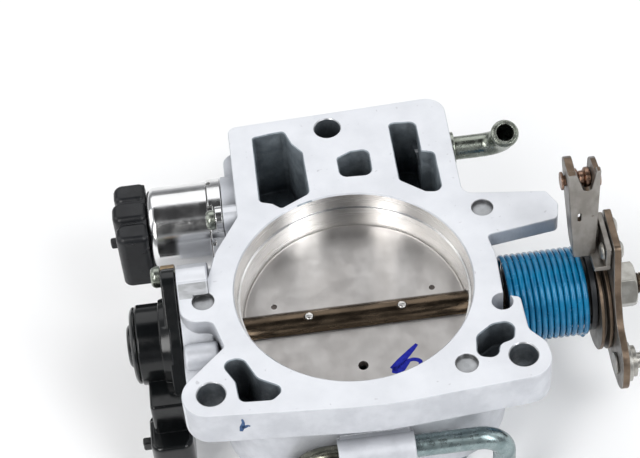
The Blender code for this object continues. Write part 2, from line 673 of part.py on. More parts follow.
def idle_valve(metals, plastic, rubber, assembly, spindle, slider):
    """The stepper valve: can, windings, rotor, pintle, spring and connector."""
    bright, copper, steel, dark = metals
    centre = (IDLE_Y, IDLE_Z)
    can_left = -66.0
    can_right = -45.3
    can = [
        (can_left, 5.0), (can_left, 12.8), (can_left + 0.6, 14.2), (can_left + 2.0, 14.75),
        (can_right, 14.75), (can_right, 13.5), (can_left + 1.4, 13.5), (can_left + 1.4, 5.0),
    ]
    piece("idle_valve_can", turned(can, centre, steps=32), bright, assembly)
    base = prism(circle(*centre, 15.4, 32), -45.0, IDLE_X - GAP, "X")
    snout = ring(IDLE_X - 1.5, -34.2, 6.4, 8.6, centre)
    notches = []
    for i in range(8):
        angle = 2.0 * math.pi * (i + 0.5) / 8
        notch = box((-46.0, -1.1, 14.2), (-43.4, 1.1, 17.0))
        bmesh.ops.rotate(notch, cent=(0, 0, 0), matrix=Matrix.Rotation(angle, 3, "X"), verts=notch.verts)
        bmesh.ops.translate(notch, vec=(0.0, *centre), verts=notch.verts)
        notches.append(notch)
    groove = ring(IDLE_X - 1.8, IDLE_X, 9.6, 12.4, centre)
    throat = rod(-46.0, -33.0, 6.2, centre)
    piece(
        "idle_valve_base", base, bright, assembly, idle_ears(4.4, -42.6, IDLE_X - GAP) + [snout],
        notches + [groove, throat] + ear_holes(idle_screw_places(), -44.0, -38.0, 2.3),
    )
    piece("idle_valve_seal", ring(IDLE_X - 1.5, IDLE_X - 0.2, 9.9, 12.1, centre), rubber, assembly)
    piece("idle_valve_windings", ring(-64.0, -46.0, 8.4, 13.2, centre), copper, assembly)
    piece("idle_valve_rotor", ring(-63.6, -48.4, 2.7, 8.0, centre), dark, spindle)
    pintle = [
        (-61.0, 0.0), (-61.0, 2.3), (-42.8, 2.3), (-42.8, 5.9), (-41.2, 5.9), (-41.2, 3.0), (-38.0, 3.0),
        (-38.0, 4.9), (-36.6, 4.9), (-31.4, 2.2), (-31.0, 0.0),
    ]
    piece("idle_valve_pintle", turned(pintle, centre, steps=24), steel, slider)
    spring = coil(-47.3, -43.6, 4.4, 3.0, 0.0, centre, 14)
    piece("idle_valve_spring", swept(spring, 0.4, 5), steel, slider, sharp=60.0)
    screws = []
    for place in idle_screw_places():
        profile = [
            (-45.9, 0.0), (-45.9, 2.6), (-45.4, 3.4), (-42.9, 3.4), (-42.9, 2.0), (-36.4, 2.0), (-36.4, 0.0),
        ]
        screws.append(turned(profile, place, steps=16))
    numbered("idle_valve_screw", screws, steel, assembly)
    idle_connector(plastic, bright, assembly)


def idle_connector(plastic, bright, assembly):
    """The ribbed connector, which a plug enters from below."""
    left = -78.4
    right = -66.3
    lobes = []
    for index, (low, high, reach) in enumerate(((37.8, 46.4, 0.8), (46.4, 55.8, 0.0), (55.8, 64.6, 0.8))):
        end = left + reach
        outline = rounded([(end, low, 2.6), (right, low, 0.0), (right, high, 0.0), (end, high, 2.6)])
        top = -8.0 if index == 1 else -8.8
        lobes.append(prism(outline, -33.0 + 0.2 * index, top))
    bar = box((left + 2.4, 38.6, -32.4), (right - 0.2, 63.8, -9.6))
    nub = box((left - 2.4, 49.8, -26.0), (left + 1.0, 52.4, -22.6))
    socket_outline = rounded([(-76.4, 40.4, 1.5), (-68.4, 40.4, 1.5), (-68.4, 62.0, 1.5), (-76.4, 62.0, 1.5)])
    socket = prism(socket_outline, -36.0, -17.0)
    piece("idle_valve_connector", bar, plastic, assembly, lobes + [nub], [socket])
    pins = [box((-73.0, y - 0.8, -27.0), (-72.0, y + 0.8, -17.3)) for y in (43.5, 48.7, 53.9, 59.1)]
    numbered("idle_valve_terminal", pins, bright, assembly)


# position sensor

def position_sensor(plastic, steel, brass, rubber, board, assembly, axle):
    """The rotary sensor on the shaft's left end."""
    centre = (0.0, SHAFT_Z)
    seat = SENSOR_X - GAP
    flange = prism(sensor_outline(), -62.4, seat, "X")
    drum = rod(-72.4, -61.0, 13.4, centre, steps=32)
    neck_block = box((-70.6, -24.0, -40.0), (-59.2, -8.0, -22.0))
    shroud_outline = rounded([
        (-72.4, -31.0, 4.0), (-58.4, -31.0, 4.0), (-58.4, -14.0, 4.0), (-72.4, -14.0, 4.0),
    ])
    shroud = prism(shroud_outline, -51.0, -36.0)
    nub = box((-75.4, -24.0, -45.0), (-71.4, -21.2, -41.0))
    chamber = turned([(-73.0, 0.0), (-73.0, 11.0), (-59.4, 11.0), (-59.4, 0.0)], centre)
    socket_outline = rounded([
        (-70.6, -29.2, 2.6), (-60.2, -29.2, 2.6), (-60.2, -15.8, 2.6), (-70.6, -15.8, 2.6),
    ])
    socket = prism(socket_outline, -52.0, -41.4)
    hub_hole = rod(-60.0, -57.0, 6.0, centre)
    sleeve_hole = [(-76.0, 0.0), (-76.0, 4.3), (-62.4, 4.3), (-62.4, 3.9), (-57.0, 3.9), (-57.0, 0.0)]
    sleeve_holes = [turned(sleeve_hole, place, steps=20) for place in sensor_screw_places()]
    piece(
        "sensor_body", drum, plastic, assembly, [flange, neck_block, shroud, nub],
        [chamber, socket, hub_hole] + sleeve_holes,
    )
    cover = [
        (-76.0, 0.0), (-76.0, 6.2), (-75.4, 7.0), (-74.6, 7.4), (-74.4, 11.6), (-73.6, 12.8),
        (-72.7, 12.8), (-72.7, 0.0),
    ]
    piece("sensor_cover", turned(cover, centre, steps=28), plastic, assembly)
    rotor = [(-70.8, 0.0), (-70.8, 9.6), (-67.6, 9.6), (-67.6, 5.7), (-59.8, 5.7), (-59.8, 0.0)]
    tang = rod(-69.2, -59.0, 3.2, centre)
    piece("sensor_rotor", turned(rotor, centre), brass, axle, (), [tang])
    piece("sensor_track", ring(-72.3, -71.3, 3.0, 10.6, centre), board, assembly)
    sleeves = [ring(-62.4, seat, 2.5, 3.6, place, steps=20) for place in sensor_screw_places()]
    numbered("sensor_sleeve", sleeves, brass, assembly)
    screws = []
    for place in sensor_screw_places():
        profile = [
            (-65.8, 0.0), (-65.8, 2.8), (-65.2, 3.6), (-62.7, 3.6), (-62.7, 2.0), (-50.0, 2.0), (-50.0, 0.0),
        ]
        screws.append(turned(profile, place, steps=20))
    numbered("sensor_screw", screws, steel, assembly)
    piece("sensor_seal", ring(-57.3, -55.8, 6.2, 8.0, centre), rubber, assembly)
    pins = [box((-65.9, y - 0.8, -46.2), (-64.9, y + 0.8, -41.7)) for y in (-26.0, -22.5, -19.0)]
    numbered("sensor_terminal", pins, steel, assembly)


# pipes

def hose_nipple(zinc, assembly):
    """The vacuum elbow pressed into the right wall."""
    start = (33.2, NIPPLE_Y, NIPPLE_Z)
    corner = (59.6, NIPPLE_Y, NIPPLE_Z)
    end = (59.8, NIPPLE_Y - 7.4, NIPPLE_Z + 12.8)
    path = bend(start, corner, end, 7.5)
    collar = ring(41.5, 43.0, 3.4, 5.9, (NIPPLE_Y, NIPPLE_Z), steps=16)
    ahead = (Vector(end) - Vector(corner)).normalized()
    bead = swept([Vector(end) - ahead * 3.0, Vector(end) - ahead * 0.4], 4.9, 12, 3.4)
    return piece("hose_nipple", swept(path, 4.15, 12, 3.1), zinc, assembly, [collar, bead])


def coolant_pipes(zinc, assembly):
    """The two pipes that carry warm coolant through the front boss."""
    right = bend((4.8, PIPE_Y, PIPE_Z), (41.4, PIPE_Y, PIPE_Z), (41.4, PIPE_Y, -58.0), 8.5)
    left = bend((-4.2, PIPE_Y, PIPE_Z), (-26.2, PIPE_Y, PIPE_Z), (-26.2, PIPE_Y, -58.0), 11.5)
    piece("coolant_pipe_right", swept(right, 3.65, 12, 2.6), zinc, assembly)
    piece("coolant_pipe_left", swept(left, 3.65, 12, 2.6), zinc, assembly)


def main():
    clear_scene()
    assembly = holder("assembly", (*BORE_FROM_CENTRE, BODY_H))
    axle = holder("shaft_axis", (0.0, 0.0, SHAFT_Z), assembly)
    spindle = holder("idle_rotor_axis", (-56.0, IDLE_Y, IDLE_Z), assembly)
    slider = holder("idle_pintle_axis", (-42.0, IDLE_Y, IDLE_Z), assembly)

    cast = finish("cast_aluminium", (0.80, 0.81, 0.84), 0.42, 0.9)
    brass = finish("sintered_bronze", (0.46, 0.30, 0.16), 0.4, 1.0)
    shaft_steel = finish("bronzed_steel", (0.20, 0.14, 0.09), 0.35, 1.0)
    plate_metal = finish("plate_brass", (0.62, 0.58, 0.55), 0.4, 1.0)
    zinc = finish("zinc_plate", (0.45, 0.46, 0.40), 0.35, 1.0)
    lever_zinc = finish("lever_zinc", (0.42, 0.38, 0.33), 0.45, 1.0)
    bright = finish("bright_plate", (0.78, 0.78, 0.78), 0.22, 1.0)
    blue = finish("blue_wire", (0.01, 0.20, 0.38), 0.35, 0.3)
    plastic = finish("black_plastic", (0.02, 0.02, 0.022), 0.45, 0.0)
    rubber = finish("black_rubber", (0.015, 0.015, 0.015), 0.8, 0.0)
    copper = finish("copper", (0.70, 0.38, 0.24), 0.35, 1.0)
    board = finish("resistor_board", (0.05, 0.16, 0.07), 0.5, 0.0)
    magnet = finish("magnet", (0.07, 0.07, 0.075), 0.5, 0.4)

    throttle_housing(cast, assembly)
    throttle_shaft(shaft_steel, axle)
    throttle_plate(plate_metal, axle)
    plate_screws(bright, axle)
    shaft_supports(bright, rubber, assembly)
    return_spring(blue, axle)
    spring_sleeve(plastic, axle)
    lever_plate(lever_zinc, axle)
    cable_cam(lever_zinc, axle)
    cable_anchor(lever_zinc, axle)
    cable_pin(copper, axle)
    lever_fasteners(lever_zinc, axle)
    stop_parts(zinc, assembly)
    idle_valve((bright, copper, shaft_steel, magnet), plastic, rubber, assembly, spindle, slider)
    position_sensor(plastic, zinc, brass, rubber, board, assembly, axle)
    hose_nipple(zinc, assembly)
    coolant_pipes(zinc, assembly)


main()
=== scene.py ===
"""Looks for the throttle body: detailed pieces, procedural finishes, studio and camera.

Sizes are in millimetres in the bore frame of the part: the bore axis is +Z, the flange face is z = 0,
the throttle shaft runs along X towards the lever and the ported side of the flange is at +Y.
"""
import json
import math

import bmesh
import bpy
from mathutils import Matrix, Vector


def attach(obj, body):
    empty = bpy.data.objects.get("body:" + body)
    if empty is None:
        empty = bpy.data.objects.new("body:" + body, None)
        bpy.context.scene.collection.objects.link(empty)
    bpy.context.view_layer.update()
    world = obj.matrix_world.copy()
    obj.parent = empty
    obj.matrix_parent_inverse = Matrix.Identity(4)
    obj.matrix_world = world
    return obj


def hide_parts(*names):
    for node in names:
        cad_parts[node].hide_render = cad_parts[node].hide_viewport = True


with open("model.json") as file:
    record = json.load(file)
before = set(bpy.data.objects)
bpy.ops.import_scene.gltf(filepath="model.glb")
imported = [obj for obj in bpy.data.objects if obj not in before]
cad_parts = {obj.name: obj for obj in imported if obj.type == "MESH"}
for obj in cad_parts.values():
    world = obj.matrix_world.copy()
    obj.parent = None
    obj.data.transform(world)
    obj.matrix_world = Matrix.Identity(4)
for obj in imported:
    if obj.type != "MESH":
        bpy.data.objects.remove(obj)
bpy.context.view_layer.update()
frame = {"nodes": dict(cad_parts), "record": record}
record = frame["record"]
BODY_OF = {node: body for body, nodes in record["behaviour"]["bodies"].items() for node in nodes}

MM = 0.001
ORIGIN = Vector((-9.4, -12.3, 64.0))       # the bore frame's origin in the row frame
GAP = 0.3
BORE_R = 37.5
MOUTH_R = 39.0
FLANGE_T = 14.0
BODY_H = 64.0
SHAFT_Z = -18.5
SHAFT_R = 4.75
PLATE_T = 2.4
PLATE_TILT = math.radians(5.0)
LEVER_X = 83.3
LEVER_T = 2.5
SENSOR_X = -57.5
IDLE_X = -40.0
IDLE_Y = 51.0
IDLE_Z = -20.0
BOLT_PLACES = ((-0.6, 70.8), (-49.3, -37.2), (49.3, -37.0))
RECESS_PLACES = ((-49.2, 0.3), (46.6, 25.6), (31.2, -37.6))
PLATE_SCREW_X = (-15.5, 15.5)
VENT_PLACE = (0.0, -19.4)
VENT_R = 1.7
PUNCH_PLACES = ((-26.6, 7.5), (26.6, 7.5))
PUNCH_R = 1.3
SENSOR_EAR = (11.4, 11.4)
IDLE_EAR = (-12.1, 15.3)
STOP_SCREW_X = 60.0
STOP_SCREW_Z = -39.8
PIPE_Y = -49.5
PIPE_Z = -24.5
NIPPLE_Y = 64.0
NIPPLE_Z = -11.0
STUD_Y = -24.0
STUD_Z = -28.8
RIVET_PLACES = ((-5.0, 6.5), (5.0, 6.5))
RIVET_HOLE_R = 1.9
THROUGH_LEVER = (80.0, 90.0)
CAM_DROP = 4.0
SHAFT = (0.0, SHAFT_Z)
IDLE = (IDLE_Y, IDLE_Z)
PIPE = (PIPE_Y, PIPE_Z)
STOP = (STOP_SCREW_X, STOP_SCREW_Z)
NIPPLE = (NIPPLE_Y, NIPPLE_Z)
STUD = (STUD_Y, STUD_Z)
PIN = (4.6, 32.0)
PIPE_R = 3.65
PIPE_BORE = 2.6
NIPPLE_R = 4.15
NIPPLE_BORE = 3.1
CAN_R = 14.75
BOLT_HOLE_R = 4.5
SCREW_HOLE_R = 2.3
INK_T = 0.03
CURVE_STEPS = 8


# outlines

def rounded(corners, arc_step=7.5):
    """Turn corners (x, y, radius) into an outline whose corners are arcs."""
    outline = []
    count = len(corners)
    for index, (x, y, radius) in enumerate(corners):
        here = Vector((x, y))
        before = Vector(corners[index - 1][:2]) - here
        after = Vector(corners[(index + 1) % count][:2]) - here
        if radius <= 0.0:
            outline.append((x, y))
            continue
        before.normalize()
        after.normalize()
        half = before.angle(after) / 2.0
        centre = here + (before + after).normalized() * radius / math.sin(half)
        start = here + before * radius / math.tan(half) - centre
        end = here + after * radius / math.tan(half) - centre
        sweep = start.angle_signed(end)
        pieces = max(1, math.ceil(math.degrees(abs(sweep)) / arc_step))
        for step in range(pieces + 1):
            spoke = start.copy()
            spoke.rotate(Matrix.Rotation(-sweep * step / pieces, 2))
            outline.append(tuple(centre + spoke))
    return outline


def circle(x, y, radius, steps=48):
    """Points around a circle."""
    turn = 2.0 * math.pi / steps
    return [(x + radius * math.cos(turn * i), y + radius * math.sin(turn * i)) for i in range(steps)]


def hexagon(x, y, flats, corner=0.6):
    """A hexagon by its width across flats, with slightly rounded corners."""
    return rounded([(a, b, corner) for a, b in circle(x, y, flats / math.sqrt(3.0), 6)], 20.0)


def shifted(outline, inset):
    """The outline moved inwards by the inset, or outwards when it is negative."""
    count = len(outline)
    area = sum(outline[i - 1][0] * outline[i][1] - outline[i][0] * outline[i - 1][1] for i in range(count))
    turn = 1.0 if area > 0.0 else -1.0
    moved = []
    for index in range(count):
        here = Vector(outline[index])
        back = (here - Vector(outline[index - 1])).normalized()
        ahead = (Vector(outline[(index + 1) % count]) - here).normalized()
        inward = Vector((-(back.y + ahead.y), back.x + ahead.x)) * turn
        if inward.length < 1e-6:
            moved.append(tuple(here))
            continue
        inward.normalize()
        face = Vector((-ahead.y, ahead.x)) * turn
        moved.append(tuple(here + inward * inset / max(0.5, inward.dot(face))))
    return moved


# solids, each a bmesh in the bore frame, in millimetres

def skin(solid, rings):
    """Add the faces between each ring of vertices and the next."""
    for one, other in zip(rings, rings[1:]):
        for index in range(len(one)):
            after = (index + 1) % len(one)
            solid.faces.new((one[index], one[after], other[after], other[index]))


def close(solid, rings):
    """Cap both ends of a stack of rings, skin it and turn its faces outwards."""
    solid.faces.new(rings[0])
    solid.faces.new(rings[-1])
    skin(solid, rings)
    bmesh.ops.recalc_face_normals(solid, faces=solid.faces)
    return solid


AXES = {
    "Z": lambda a, b, c: (a, b, c),
    "X": lambda a, b, c: (c, a, b),
    "Y": lambda a, b, c: (a, c, b),
}


def stack(outline, levels, along="Z"):
    """A solid through copies of an outline, each at (height, inset)."""
    solid = bmesh.new()
    loops = []
    for height, inset in levels:
        points = shifted(outline, inset) if inset else outline
        loops.append([solid.verts.new(AXES[along](a, b, height)) for a, b in points])
    return close(solid, loops)


def slab(outline, low, high, along="Z", low_edge=0.3, high_edge=0.3, steps=4):
    """An extruded outline with rounded rims."""
    levels = []
    for step in range(steps + 1 if low_edge else 1):
        angle = math.pi / 2.0 * step / steps
        levels.append((low + low_edge * (1.0 - math.cos(angle)), low_edge * (1.0 - math.sin(angle))))
    for step in range(steps + 1 if high_edge else 1):
        angle = math.pi / 2.0 * step / steps
        levels.append((high - high_edge * (1.0 - math.sin(angle)), high_edge * (1.0 - math.cos(angle))))
    return stack(outline, levels, along)


def pocket(outline, depth):
    """A cutter for a hollow in the flange face, with a chamfered mouth and a rounded floor."""
    mouth = 0.35
    floor = 0.8
    levels = [(-depth, floor), (-depth + floor * 0.3, floor * 0.3), (-depth + floor, 0.0)]
    levels += [(-mouth, 0.0), (0.3, -mouth - 0.3)]
    return stack(outline, levels)


def box(low, high, edge=0.3):
    """A block between two corners with rounded edges."""
    corner = edge * 1.5
    corners = [
        (low[0], low[1], corner), (high[0], low[1], corner),
        (high[0], high[1], corner), (low[0], high[1], corner),
    ]
    return slab(rounded(corners, 30.0), low[2], high[2], "Z", edge, edge, 3)


def softened(profile, soft):
    """Round every corner of a turned profile that lies off the axis."""
    if soft <= 0.0:
        return list(profile)
    points = [Vector(point) for point in profile]
    result = []
    count = len(points)
    closed = profile[0][1] > 0.0
    for index, here in enumerate(points):
        at_end = index in (0, count - 1)
        if here.y <= 0.0 or (at_end and not closed):
            result.append(tuple(here))
            continue
        back = points[index - 1] - here
        ahead = points[(index + 1) % count] - here
        if back.length < 1e-6 or ahead.length < 1e-6 or back.angle(-ahead) < math.radians(12.0):
            result.append(tuple(here))
            continue
        reach = min(soft, back.length * 0.4, ahead.length * 0.4)
        start = here + back.normalized() * reach
        end = here + ahead.normalized() * reach
        for step in range(5):
            t = step / 4.0
            point = start * (1.0 - t) ** 2 + here * 2.0 * t * (1.0 - t) + end * t ** 2
            result.append(tuple(point))
    return result


def turned(profile, centre=(0.0, 0.0), along="X", steps=72, soft=0.22):
    """Turn a profile of (place on the axis, radius). A profile that starts and ends at radius 0 is solid."""
    solid = bmesh.new()
    filled = profile[0][1] <= 0.0
    rings = []
    points = softened(profile, soft)
    for index, (place, radius) in enumerate(points):
        flat_end = radius <= 0.0 and abs(place - points[1 if index == 0 else -2][0]) < 1e-6
        if flat_end:
            continue
        ring_points = []
        for i in range(steps if radius > 0.0 else 1):
            angle = 2.0 * math.pi * i / steps
            a = centre[0] + radius * math.cos(angle)
            b = centre[1] + radius * math.sin(angle)
            point = {"X": (place, a, b), "Y": (a, place, b), "Z": (a, b, place)}[along]
            ring_points.append(solid.verts.new(point))
        rings.append(ring_points)
    pairs = list(zip(rings, rings[1:]))
    if filled:
        for end in (rings[0], rings[-1]):
            if len(end) > 1:
                solid.faces.new(end)
    else:
        pairs.append((rings[-1], rings[0]))
    for one, other in pairs:
        for i in range(steps):
            after = (i + 1) % steps
            corners = [one[i % len(one)], one[after % len(one)]]
            corners += [other[after % len(other)], other[i % len(other)]]
            solid.faces.new(list(dict.fromkeys(corners)))
    bmesh.ops.recalc_face_normals(solid, faces=solid.faces)
    return solid


def rod(start, end, radius, centre=(0.0, 0.0), along="X", steps=48, soft=0.0):
    """A plain cylinder, with rounded rims when it is soft."""
    return turned([(start, 0.0), (start, radius), (end, radius), (end, 0.0)], centre, along, steps, soft)


def ring(start, end, inner, outer, centre=(0.0, 0.0), steps=60, soft=0.2):
    """A sleeve along X with rounded rims."""
    return turned([(start, inner), (start, outer), (end, outer), (end, inner)], centre, "X", steps, soft)


def swept(path, radius, sides=12, bore=0.0, radii=None):
    """Sweep a round section along a path, as a rod, or as a tube when it has a bore."""
    solid = bmesh.new()
    points = [Vector(point) for point in path]
    side = None
    outer_rings = []
    inner_rings = []
    for index, point in enumerate(points):
        ahead = points[min(index + 1, len(points) - 1)] - points[max(index - 1, 0)]
        ahead.normalize()
        if side is None:
            side = ahead.orthogonal()
        side = (side - ahead * side.dot(ahead)).normalized()
        up = ahead.cross(side)
        here = radii[index] if radii else radius
        spokes = []
        for i in range(sides):
            angle = 2.0 * math.pi * i / sides
            spokes.append(side * math.cos(angle) + up * math.sin(angle))
        outer_rings.append([solid.verts.new(point + spoke * here) for spoke in spokes])
        if bore > 0.0:
            inner_rings.append([solid.verts.new(point + spoke * bore) for spoke in spokes])
    skin(solid, outer_rings)
    skin(solid, inner_rings)
    for end in (0, -1):
        if bore > 0.0:
            skin(solid, (outer_rings[end], inner_rings[end]))
        else:
            solid.faces.new(outer_rings[end])
    bmesh.ops.recalc_face_normals(solid, faces=solid.faces)
    return solid


def bend(start, corner, end, radius):
    """A path from start to end with a round bend at the corner."""
    steps = 20
    straight = 6
    start = Vector(start)
    corner = Vector(corner)
    end = Vector(end)
    back = (start - corner).normalized()
    ahead = (end - corner).normalized()
    half = back.angle(ahead) / 2.0
    centre = corner + (back + ahead).normalized() * radius / math.sin(half)
    first = corner + back * radius / math.tan(half) - centre
    last = corner + ahead * radius / math.tan(half) - centre
    path = [start.lerp(centre + first, step / straight) for step in range(straight)]
    for step in range(steps + 1):
        path.append(centre + first.slerp(last, step / steps).normalized() * radius)
    path += [(centre + last).lerp(end, (step + 1) / straight) for step in range(straight)]
    return path


def spun(solid, angle):
    """Turn a solid about the shaft axis."""
    axis = Vector((0.0, 0.0, SHAFT_Z))
    bmesh.ops.rotate(solid, cent=axis, matrix=Matrix.Rotation(angle, 3, "X"), verts=solid.verts)
    return solid


# node trees

class Tree:
    """A short way to write a material's nodes."""

    def __init__(self, name):
        self.material = bpy.data.materials.new(name)
        self.material.use_nodes = True
        self.nodes = self.material.node_tree.nodes
        self.links = self.material.node_tree.links
        self.shader = self.nodes["Principled BSDF"]
        coords = self.add("ShaderNodeTexCoord")
        self.mm = self.maths("SCALE", coords.outputs["Object"], scale=1000.0)

    def put(self, socket, value):
        """Link a socket's value to an input, or set a constant on it."""
        if isinstance(value, bpy.types.NodeSocket):
            self.links.new(value, socket)
        else:
            socket.default_value = value

    def add(self, kind, inputs=None, **settings):
        """A new node with its settings and inputs."""
        node = self.nodes.new(kind)
        for key, value in settings.items():
            setattr(node, key, value)
        for key, value in (inputs or {}).items():
            self.put(node.inputs[key], value)
        return node

    def maths(self, operation, first, second=None, scale=None):
        """A vector operation."""
        node = self.add("ShaderNodeVectorMath", {0: first}, operation=operation)
        if second is not None:
            self.put(node.inputs[1], second)
        if scale is not None:
            self.put(node.inputs["Scale"], scale)
        return node.outputs["Value" if operation in ("DOT_PRODUCT", "LENGTH") else "Vector"]

    def sums(self, operation, first, second=0.0):
        """A scalar operation."""
        return self.add("ShaderNodeMath", {0: first, 1: second}, operation=operation).outputs[0]

    def spread(self, value, low, high, to_low=0.0, to_high=1.0):
        """Map a range of values to another one, smoothly and clamped."""
        inputs = {"Value": value, "From Min": low, "From Max": high, "To Min": to_low, "To Max": to_high}
        return self.add("ShaderNodeMapRange", inputs, interpolation_type="SMOOTHSTEP").outputs[0]

    def cloud(self, scale, detail=3.0, stretch=(1.0, 1.0, 1.0), roughness=0.55):
        """Noise with features of about 1 / scale millimetres."""
        place = self.maths("MULTIPLY", self.mm, stretch)
        inputs = {"Vector": place, "Scale": scale, "Detail": detail, "Roughness": roughness}
        return self.add("ShaderNodeTexNoise", inputs).outputs["Fac"]

    def blend(self, factor, first, second):
        """Mix two colours."""
        node = self.add("ShaderNodeMix", data_type="RGBA")
        self.put(node.inputs[0], factor)
        self.put(node.inputs[6], first)
        self.put(node.inputs[7], second)
        return node.outputs[2]

    def edge(self, radius):
        """The bevelled normal and a mask that is 1 on worn edges."""
        soft = self.add("ShaderNodeBevel", {"Radius": radius * MM}, samples=6).outputs[0]
        true = self.add("ShaderNodeNewGeometry").outputs["Normal"]
        away = self.sums("SUBTRACT", 1.0, self.maths("DOT_PRODUCT", soft, true))
        return soft, self.spread(away, 0.02, 0.22)

    def hollow(self, reach):
        """A mask that is 1 in corners and hollows, where the finishes paint shade and dirt."""
        node = self.add("ShaderNodeAmbientOcclusion", {"Distance": reach * MM}, samples=6, only_local=True)
        return self.spread(node.outputs["AO"], 0.35, 0.95, 1.0, 0.0)

    def bump(self, height, depth, normal=None):
        """A normal that rises and falls with a height, by a depth in millimetres."""
        inputs = {"Height": height, "Distance": depth * MM}
        if normal is not None:
            inputs["Normal"] = normal
        return self.add("ShaderNodeBump", inputs).outputs[0]


def shade(colour):
    """An opaque colour for a node's socket."""
    return (*colour, 1.0)


def finish(name, colour, other, rough, metallic, patch=0.12, grain=1.6, depth=0.02, edge=0.25, worn=None,
           dirt_and_shade=None, reach=3.0, stretch=(1.0, 1.0, 1.0), scratches=0.0, coat=0.0, specular=0.5):
    """A surface with patches of two tints, a fine grain, worn edges, a darker tint in its hollows that is
    partly dirt and partly painted shade, and scratches.
    """
    tree = Tree(name)
    tint = tree.blend(tree.spread(tree.cloud(patch, 4.0, stretch), 0.35, 0.65), shade(colour), shade(other))
    fine = tree.cloud(grain, 4.0, stretch, 0.6)
    normal, edges = tree.edge(edge)
    if dirt_and_shade:
        # the hollows are darkened by ambient occlusion: partly dirt, partly painted shade
        tint = tree.blend(tree.sums("MULTIPLY", tree.hollow(reach), 0.85), tint, shade(dirt_and_shade))
    gloss = tree.spread(tree.cloud(patch * 2.3, 5.0, stretch), 0.3, 0.7, rough[0], rough[1])
    if worn:
        uneven = tree.spread(tree.cloud(0.9, 3.0), 0.3, 0.62)
        mask = tree.sums("MULTIPLY", edges, uneven)
        tint = tree.blend(mask, tint, shade(worn))
    if scratches:
        lines = tree.cloud(0.5, 2.0, (0.25, 4.0, 4.0), 0.7)
        gloss = tree.sums("ADD", gloss, tree.spread(lines, 0.55, 0.75, 0.0, scratches))
    tree.put(tree.shader.inputs["Base Color"], tint)
    tree.put(tree.shader.inputs["Roughness"], gloss)
    tree.shader.inputs["Metallic"].default_value = metallic
    tree.shader.inputs["Coat Weight"].default_value = coat
    tree.shader.inputs["Coat Roughness"].default_value = 0.12
    tree.shader.inputs["Specular IOR Level"].default_value = specular
    tree.put(tree.shader.inputs["Normal"], tree.bump(fine, depth, normal))
    return tree.material


def machined_finish():
    """The milled flange face: bright, with faint arcs left by the cutter."""
    tree = Tree("machined_aluminium")
    arc = tree.maths("LENGTH", tree.maths("SUBTRACT", tree.mm, (-160.0, 240.0, 64.0)))
    lines = tree.sums("SINE", tree.sums("MULTIPLY", arc, 9.0))
    worn_lines = tree.sums("MULTIPLY", lines, tree.spread(tree.cloud(0.08, 4.0), 0.3, 0.7))
    normal, edges = tree.edge(0.22)
    patches = tree.spread(tree.cloud(0.06, 5.0), 0.3, 0.7)
    tint = tree.blend(patches, shade((0.76, 0.775, 0.81)), shade((0.69, 0.705, 0.74)))
    specks = tree.spread(tree.cloud(0.55, 2.0, roughness=0.4), 0.70, 0.78)
    tint = tree.blend(tree.sums("MULTIPLY", specks, 0.5), tint, shade((0.45, 0.45, 0.48)))
    tint = tree.blend(tree.sums("MULTIPLY", edges, 0.5), tint, shade((0.9, 0.9, 0.92)))
    tree.put(tree.shader.inputs["Base Color"], tint)
    tree.put(tree.shader.inputs["Roughness"], tree.spread(tree.cloud(0.25, 4.0), 0.3, 0.7, 0.46, 0.58))
    tree.shader.inputs["Metallic"].default_value = 0.45
    height = tree.sums("ADD", worn_lines, tree.cloud(2.5, 3.0))
    tree.put(tree.shader.inputs["Normal"], tree.bump(height, 0.004, normal))
    return tree.material


def bored_finish():
    """The bored and reamed wall, streaked along the cut."""
    tree = Tree("bored_aluminium")
    height = tree.add("ShaderNodeSeparateXYZ", {0: tree.mm}).outputs["Z"]
    fine = tree.sums("SINE", tree.sums("MULTIPLY", height, 21.0))
    wide = tree.cloud(0.5, 4.0, (0.05, 0.05, 3.0), 0.7)
    lines = tree.sums("ADD", tree.sums("MULTIPLY", fine, 0.35), wide)
    patches = tree.spread(tree.cloud(0.07, 4.0), 0.3, 0.7)
    tint = tree.blend(patches, shade((0.78, 0.77, 0.75)), shade((0.66, 0.66, 0.66)))
    tree.put(tree.shader.inputs["Base Color"], tint)
    tree.put(tree.shader.inputs["Roughness"], tree.spread(wide, 0.3, 0.7, 0.18, 0.30))
    tree.shader.inputs["Metallic"].default_value = 1.0
    tree.shader.inputs["Anisotropic"].default_value = 0.85
    across = tree.maths("SUBTRACT", tree.mm, tuple(ORIGIN))
    around = tree.maths("NORMALIZE", tree.maths("CROSS_PRODUCT", across, (0.0, 0.0, 1.0)))
    tree.put(tree.shader.inputs["Tangent"], around)
    tree.shader.inputs["Anisotropic Rotation"].default_value = 0.25
    tree.put(tree.shader.inputs["Normal"], tree.bump(lines, 0.004, tree.edge(0.2)[0]))
    return tree.material


def plate_finish():
    """Rolled sheet: its grain runs along the shaft, which smears reflections across it."""
    tree = Tree("plate_sheet")
    grain = tree.cloud(1.0, 4.0, (0.25, 3.0, 1.0), 0.65)
    blotches = tree.spread(tree.cloud(0.09, 5.0, (1.0, 0.5, 1.0)), 0.32, 0.68)
    tint = tree.blend(blotches, shade((0.74, 0.715, 0.695)), shade((0.64, 0.612, 0.59)))
    # painted shade: darker where the plate meets the shaft and the screws, for the shaft's shadow on the plate
    tint = tree.blend(tree.sums("MULTIPLY", tree.hollow(3.0), 0.7), tint, shade((0.24, 0.225, 0.21)))
    normal, edges = tree.edge(0.2)
    tint = tree.blend(tree.sums("MULTIPLY", edges, 0.5), tint, shade((0.85, 0.84, 0.82)))
    tree.put(tree.shader.inputs["Base Color"], tint)
    tree.put(tree.shader.inputs["Roughness"], tree.spread(tree.cloud(0.2, 4.0), 0.3, 0.7, 0.30, 0.42))
    tree.shader.inputs["Metallic"].default_value = 1.0
    tree.shader.inputs["Anisotropic"].default_value = 0.92
    tree.put(tree.shader.inputs["Tangent"], tree.maths("CROSS_PRODUCT", normal, (1.0, 0.0, 0.0)))
    tree.put(tree.shader.inputs["Normal"], tree.bump(grain, 0.006, normal))
    return tree.material


